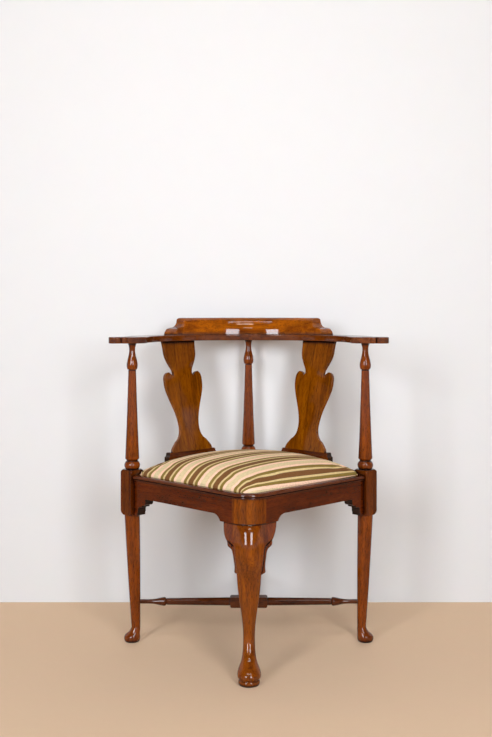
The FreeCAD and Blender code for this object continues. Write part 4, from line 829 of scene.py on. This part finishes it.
stretchedCloths = {
    # name: node, material, slot, sag in mm at the middle, cloth's thickness in mm
    "black_dust_cover": ("seat_dust_cover", "black_lining_cotton", "black_lining", 3.5, 0.6),
    "hessian_over_webbing": ("seat_hessian", "hessian_cloth", "hessian", -1.5, 0.8),
}
clothLay = {                            # mm
    "grid": 9.0, "lines": 21,
    "opening": 156.0,                   # from the seat's middle to the frame's inner edge
    "puckers": 0.35, "puckerLengths": (11, 13),
}


# the lower skin of a node, cut into a grid, sagging between the frame's members
def makeStretchedCloth(name):
    node, material, slot, sag, thickness = stretchedCloths[name]
    opening = clothLay["opening"]
    piece = bpy.data.objects.new(name, nodes[node].data.copy())
    scene.collection.objects.link(piece)
    bm = bmesh.new()
    bm.from_mesh(piece.data)
    bmesh.ops.remove_doubles(bm, verts=bm.verts, dist=0.02 * mm)
    bmesh.ops.delete(bm, geom=[f for f in bm.faces if f.normal.z > -0.5], context="FACES")
    bmesh.ops.dissolve_limit(bm, angle_limit=0.01, verts=bm.verts, edges=bm.edges)
    area = sum(f.calc_area() for f in bm.faces)
    for across in (Vector((1, 1, 0)).normalized(), Vector((1, -1, 0)).normalized()):
        for k in range(-clothLay["lines"], clothLay["lines"] + 1):
            line = Vector((0, chairCentre, 0)) + across * k * clothLay["grid"] * mm
            bmesh.ops.bisect_plane(bm, geom=bm.verts[:] + bm.edges[:] + bm.faces[:], dist=1e-6,
                                   plane_co=line, plane_no=across)
    for v in bm.verts:
        p, q = (side / mm for side in alongSides(v.co))
        bow = max(0.0, cos(pi * p / 2 / opening)) * max(0.0, cos(pi * q / 2 / opening))
        if max(abs(p), abs(q)) < opening:
            pucker = sin(p / clothLay["puckerLengths"][0]) * sin(q / clothLay["puckerLengths"][1])
            v.co.z -= (sag * bow ** 0.6 + clothLay["puckers"] * pucker) * mm
    bmesh.ops.triangulate(bm, faces=[f for f in bm.faces if len(f.verts) > 4])
    bm.to_mesh(piece.data)
    bm.free()
    piece.data.shade_smooth()
    thick = piece.modifiers.new("thickness", "SOLIDIFY")
    thick.thickness = thickness * mm
    thick.offset = -1.0                 # grows upwards, away from the skin's underside
    applied(piece)
    piece.data.materials.clear()
    piece.data.materials.append(clothMaterials[material])
    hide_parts(node)
    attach(piece, "slip_seat")


# Jute webbing, woven over and under
webbing = {"width": 50.0, "thickness": 1.5, "step": 4.0,        # mm
           "liftReach": 0.7}            # how far from a crossing a strap is lifted, in widths


# the parts of a mesh that hang together, each as its points
def islandsOf(bm):
    islands, seen = [], set()
    for start in bm.verts:
        if start in seen:
            continue
        island, queue = [], [start]
        seen.add(start)
        while queue:
            v = queue.pop()
            island.append(v.co.copy())
            for e in v.link_edges:
                other = e.other_vert(v)
                if other not in seen:
                    seen.add(other)
                    queue.append(other)
        islands.append(island)
    return islands


def makeWebbing():
    (_, _, low), (_, _, high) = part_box("seat_webbing")
    middle, half, width = (low + high) / 2, webbing["thickness"] * mm / 2, webbing["width"] * mm
    bm = bmesh.new()
    bm.from_mesh(nodes["seat_webbing"].data)
    bmesh.ops.remove_doubles(bm, verts=bm.verts, dist=0.02 * mm)
    straps = []
    for island in islandsOf(bm):
        p, q = zip(*(alongSides(point) for point in island))
        straps.append((min(p), max(p), min(q), max(q)))
    bm.free()
    # where the straps of each direction lie, side by side
    lanes = {True: sorted((q0 + q1) / 2 for p0, p1, q0, q1 in straps if p1 - p0 > q1 - q0),
             False: sorted((p0 + p1) / 2 for p0, p1, q0, q1 in straps if p1 - p0 <= q1 - q0)}
    bm = bmesh.new()
    for p0, p1, q0, q1 in sorted(straps):
        alongP = p1 - p0 > q1 - q0
        start, end, left, right = (p0, p1, q0, q1) if alongP else (q0, q1, p0, p1)
        number = lanes[alongP].index((left + right) / 2)
        steps = int((end - start) / webbing["step"] / mm)
        rings = []
        for i in range(steps + 1):
            place = start + (end - start) * i / steps
            lift = 0.0
            for k, crossing in enumerate(lanes[not alongP]):
                away = abs(place - crossing) / width
                if away < webbing["liftReach"]:
                    bend = max(0.0, cos(away * pi / 2 / webbing["liftReach"])) ** 0.7
                    lift += (-1) ** (k + number + alongP) * bend
            ring = []
            for side, up in ((left, -half), (right, -half), (right, half), (left, half)):
                p, q = (place, side) if alongP else (side, place)
                height = middle + up + half * max(-1.0, min(1.0, lift))
                ring.append(bm.verts.new(fromSides(p, q, height)))
            rings.append(ring)
        for a, b in zip(rings, rings[1:]):
            for j in range(4):
                bm.faces.new((a[j], a[(j + 1) % 4], b[(j + 1) % 4], b[j]))
        bm.faces.new(rings[0])
        bm.faces.new(rings[-1])
    bmesh.ops.recalc_face_normals(bm, faces=bm.faces)
    mesh = bpy.data.meshes.new("jute_webbing_straps")
    bm.to_mesh(mesh)
    bm.free()
    mesh.materials.append(clothMaterials["woven_jute_webbing"])
    piece = bpy.data.objects.new("jute_webbing_straps", mesh)
    scene.collection.objects.link(piece)
    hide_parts("seat_webbing")
    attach(piece, "slip_seat")


for name in stretchedCloths:
    makeStretchedCloth(name)
makeWebbing()
print("cloths and webbing under the seat made")
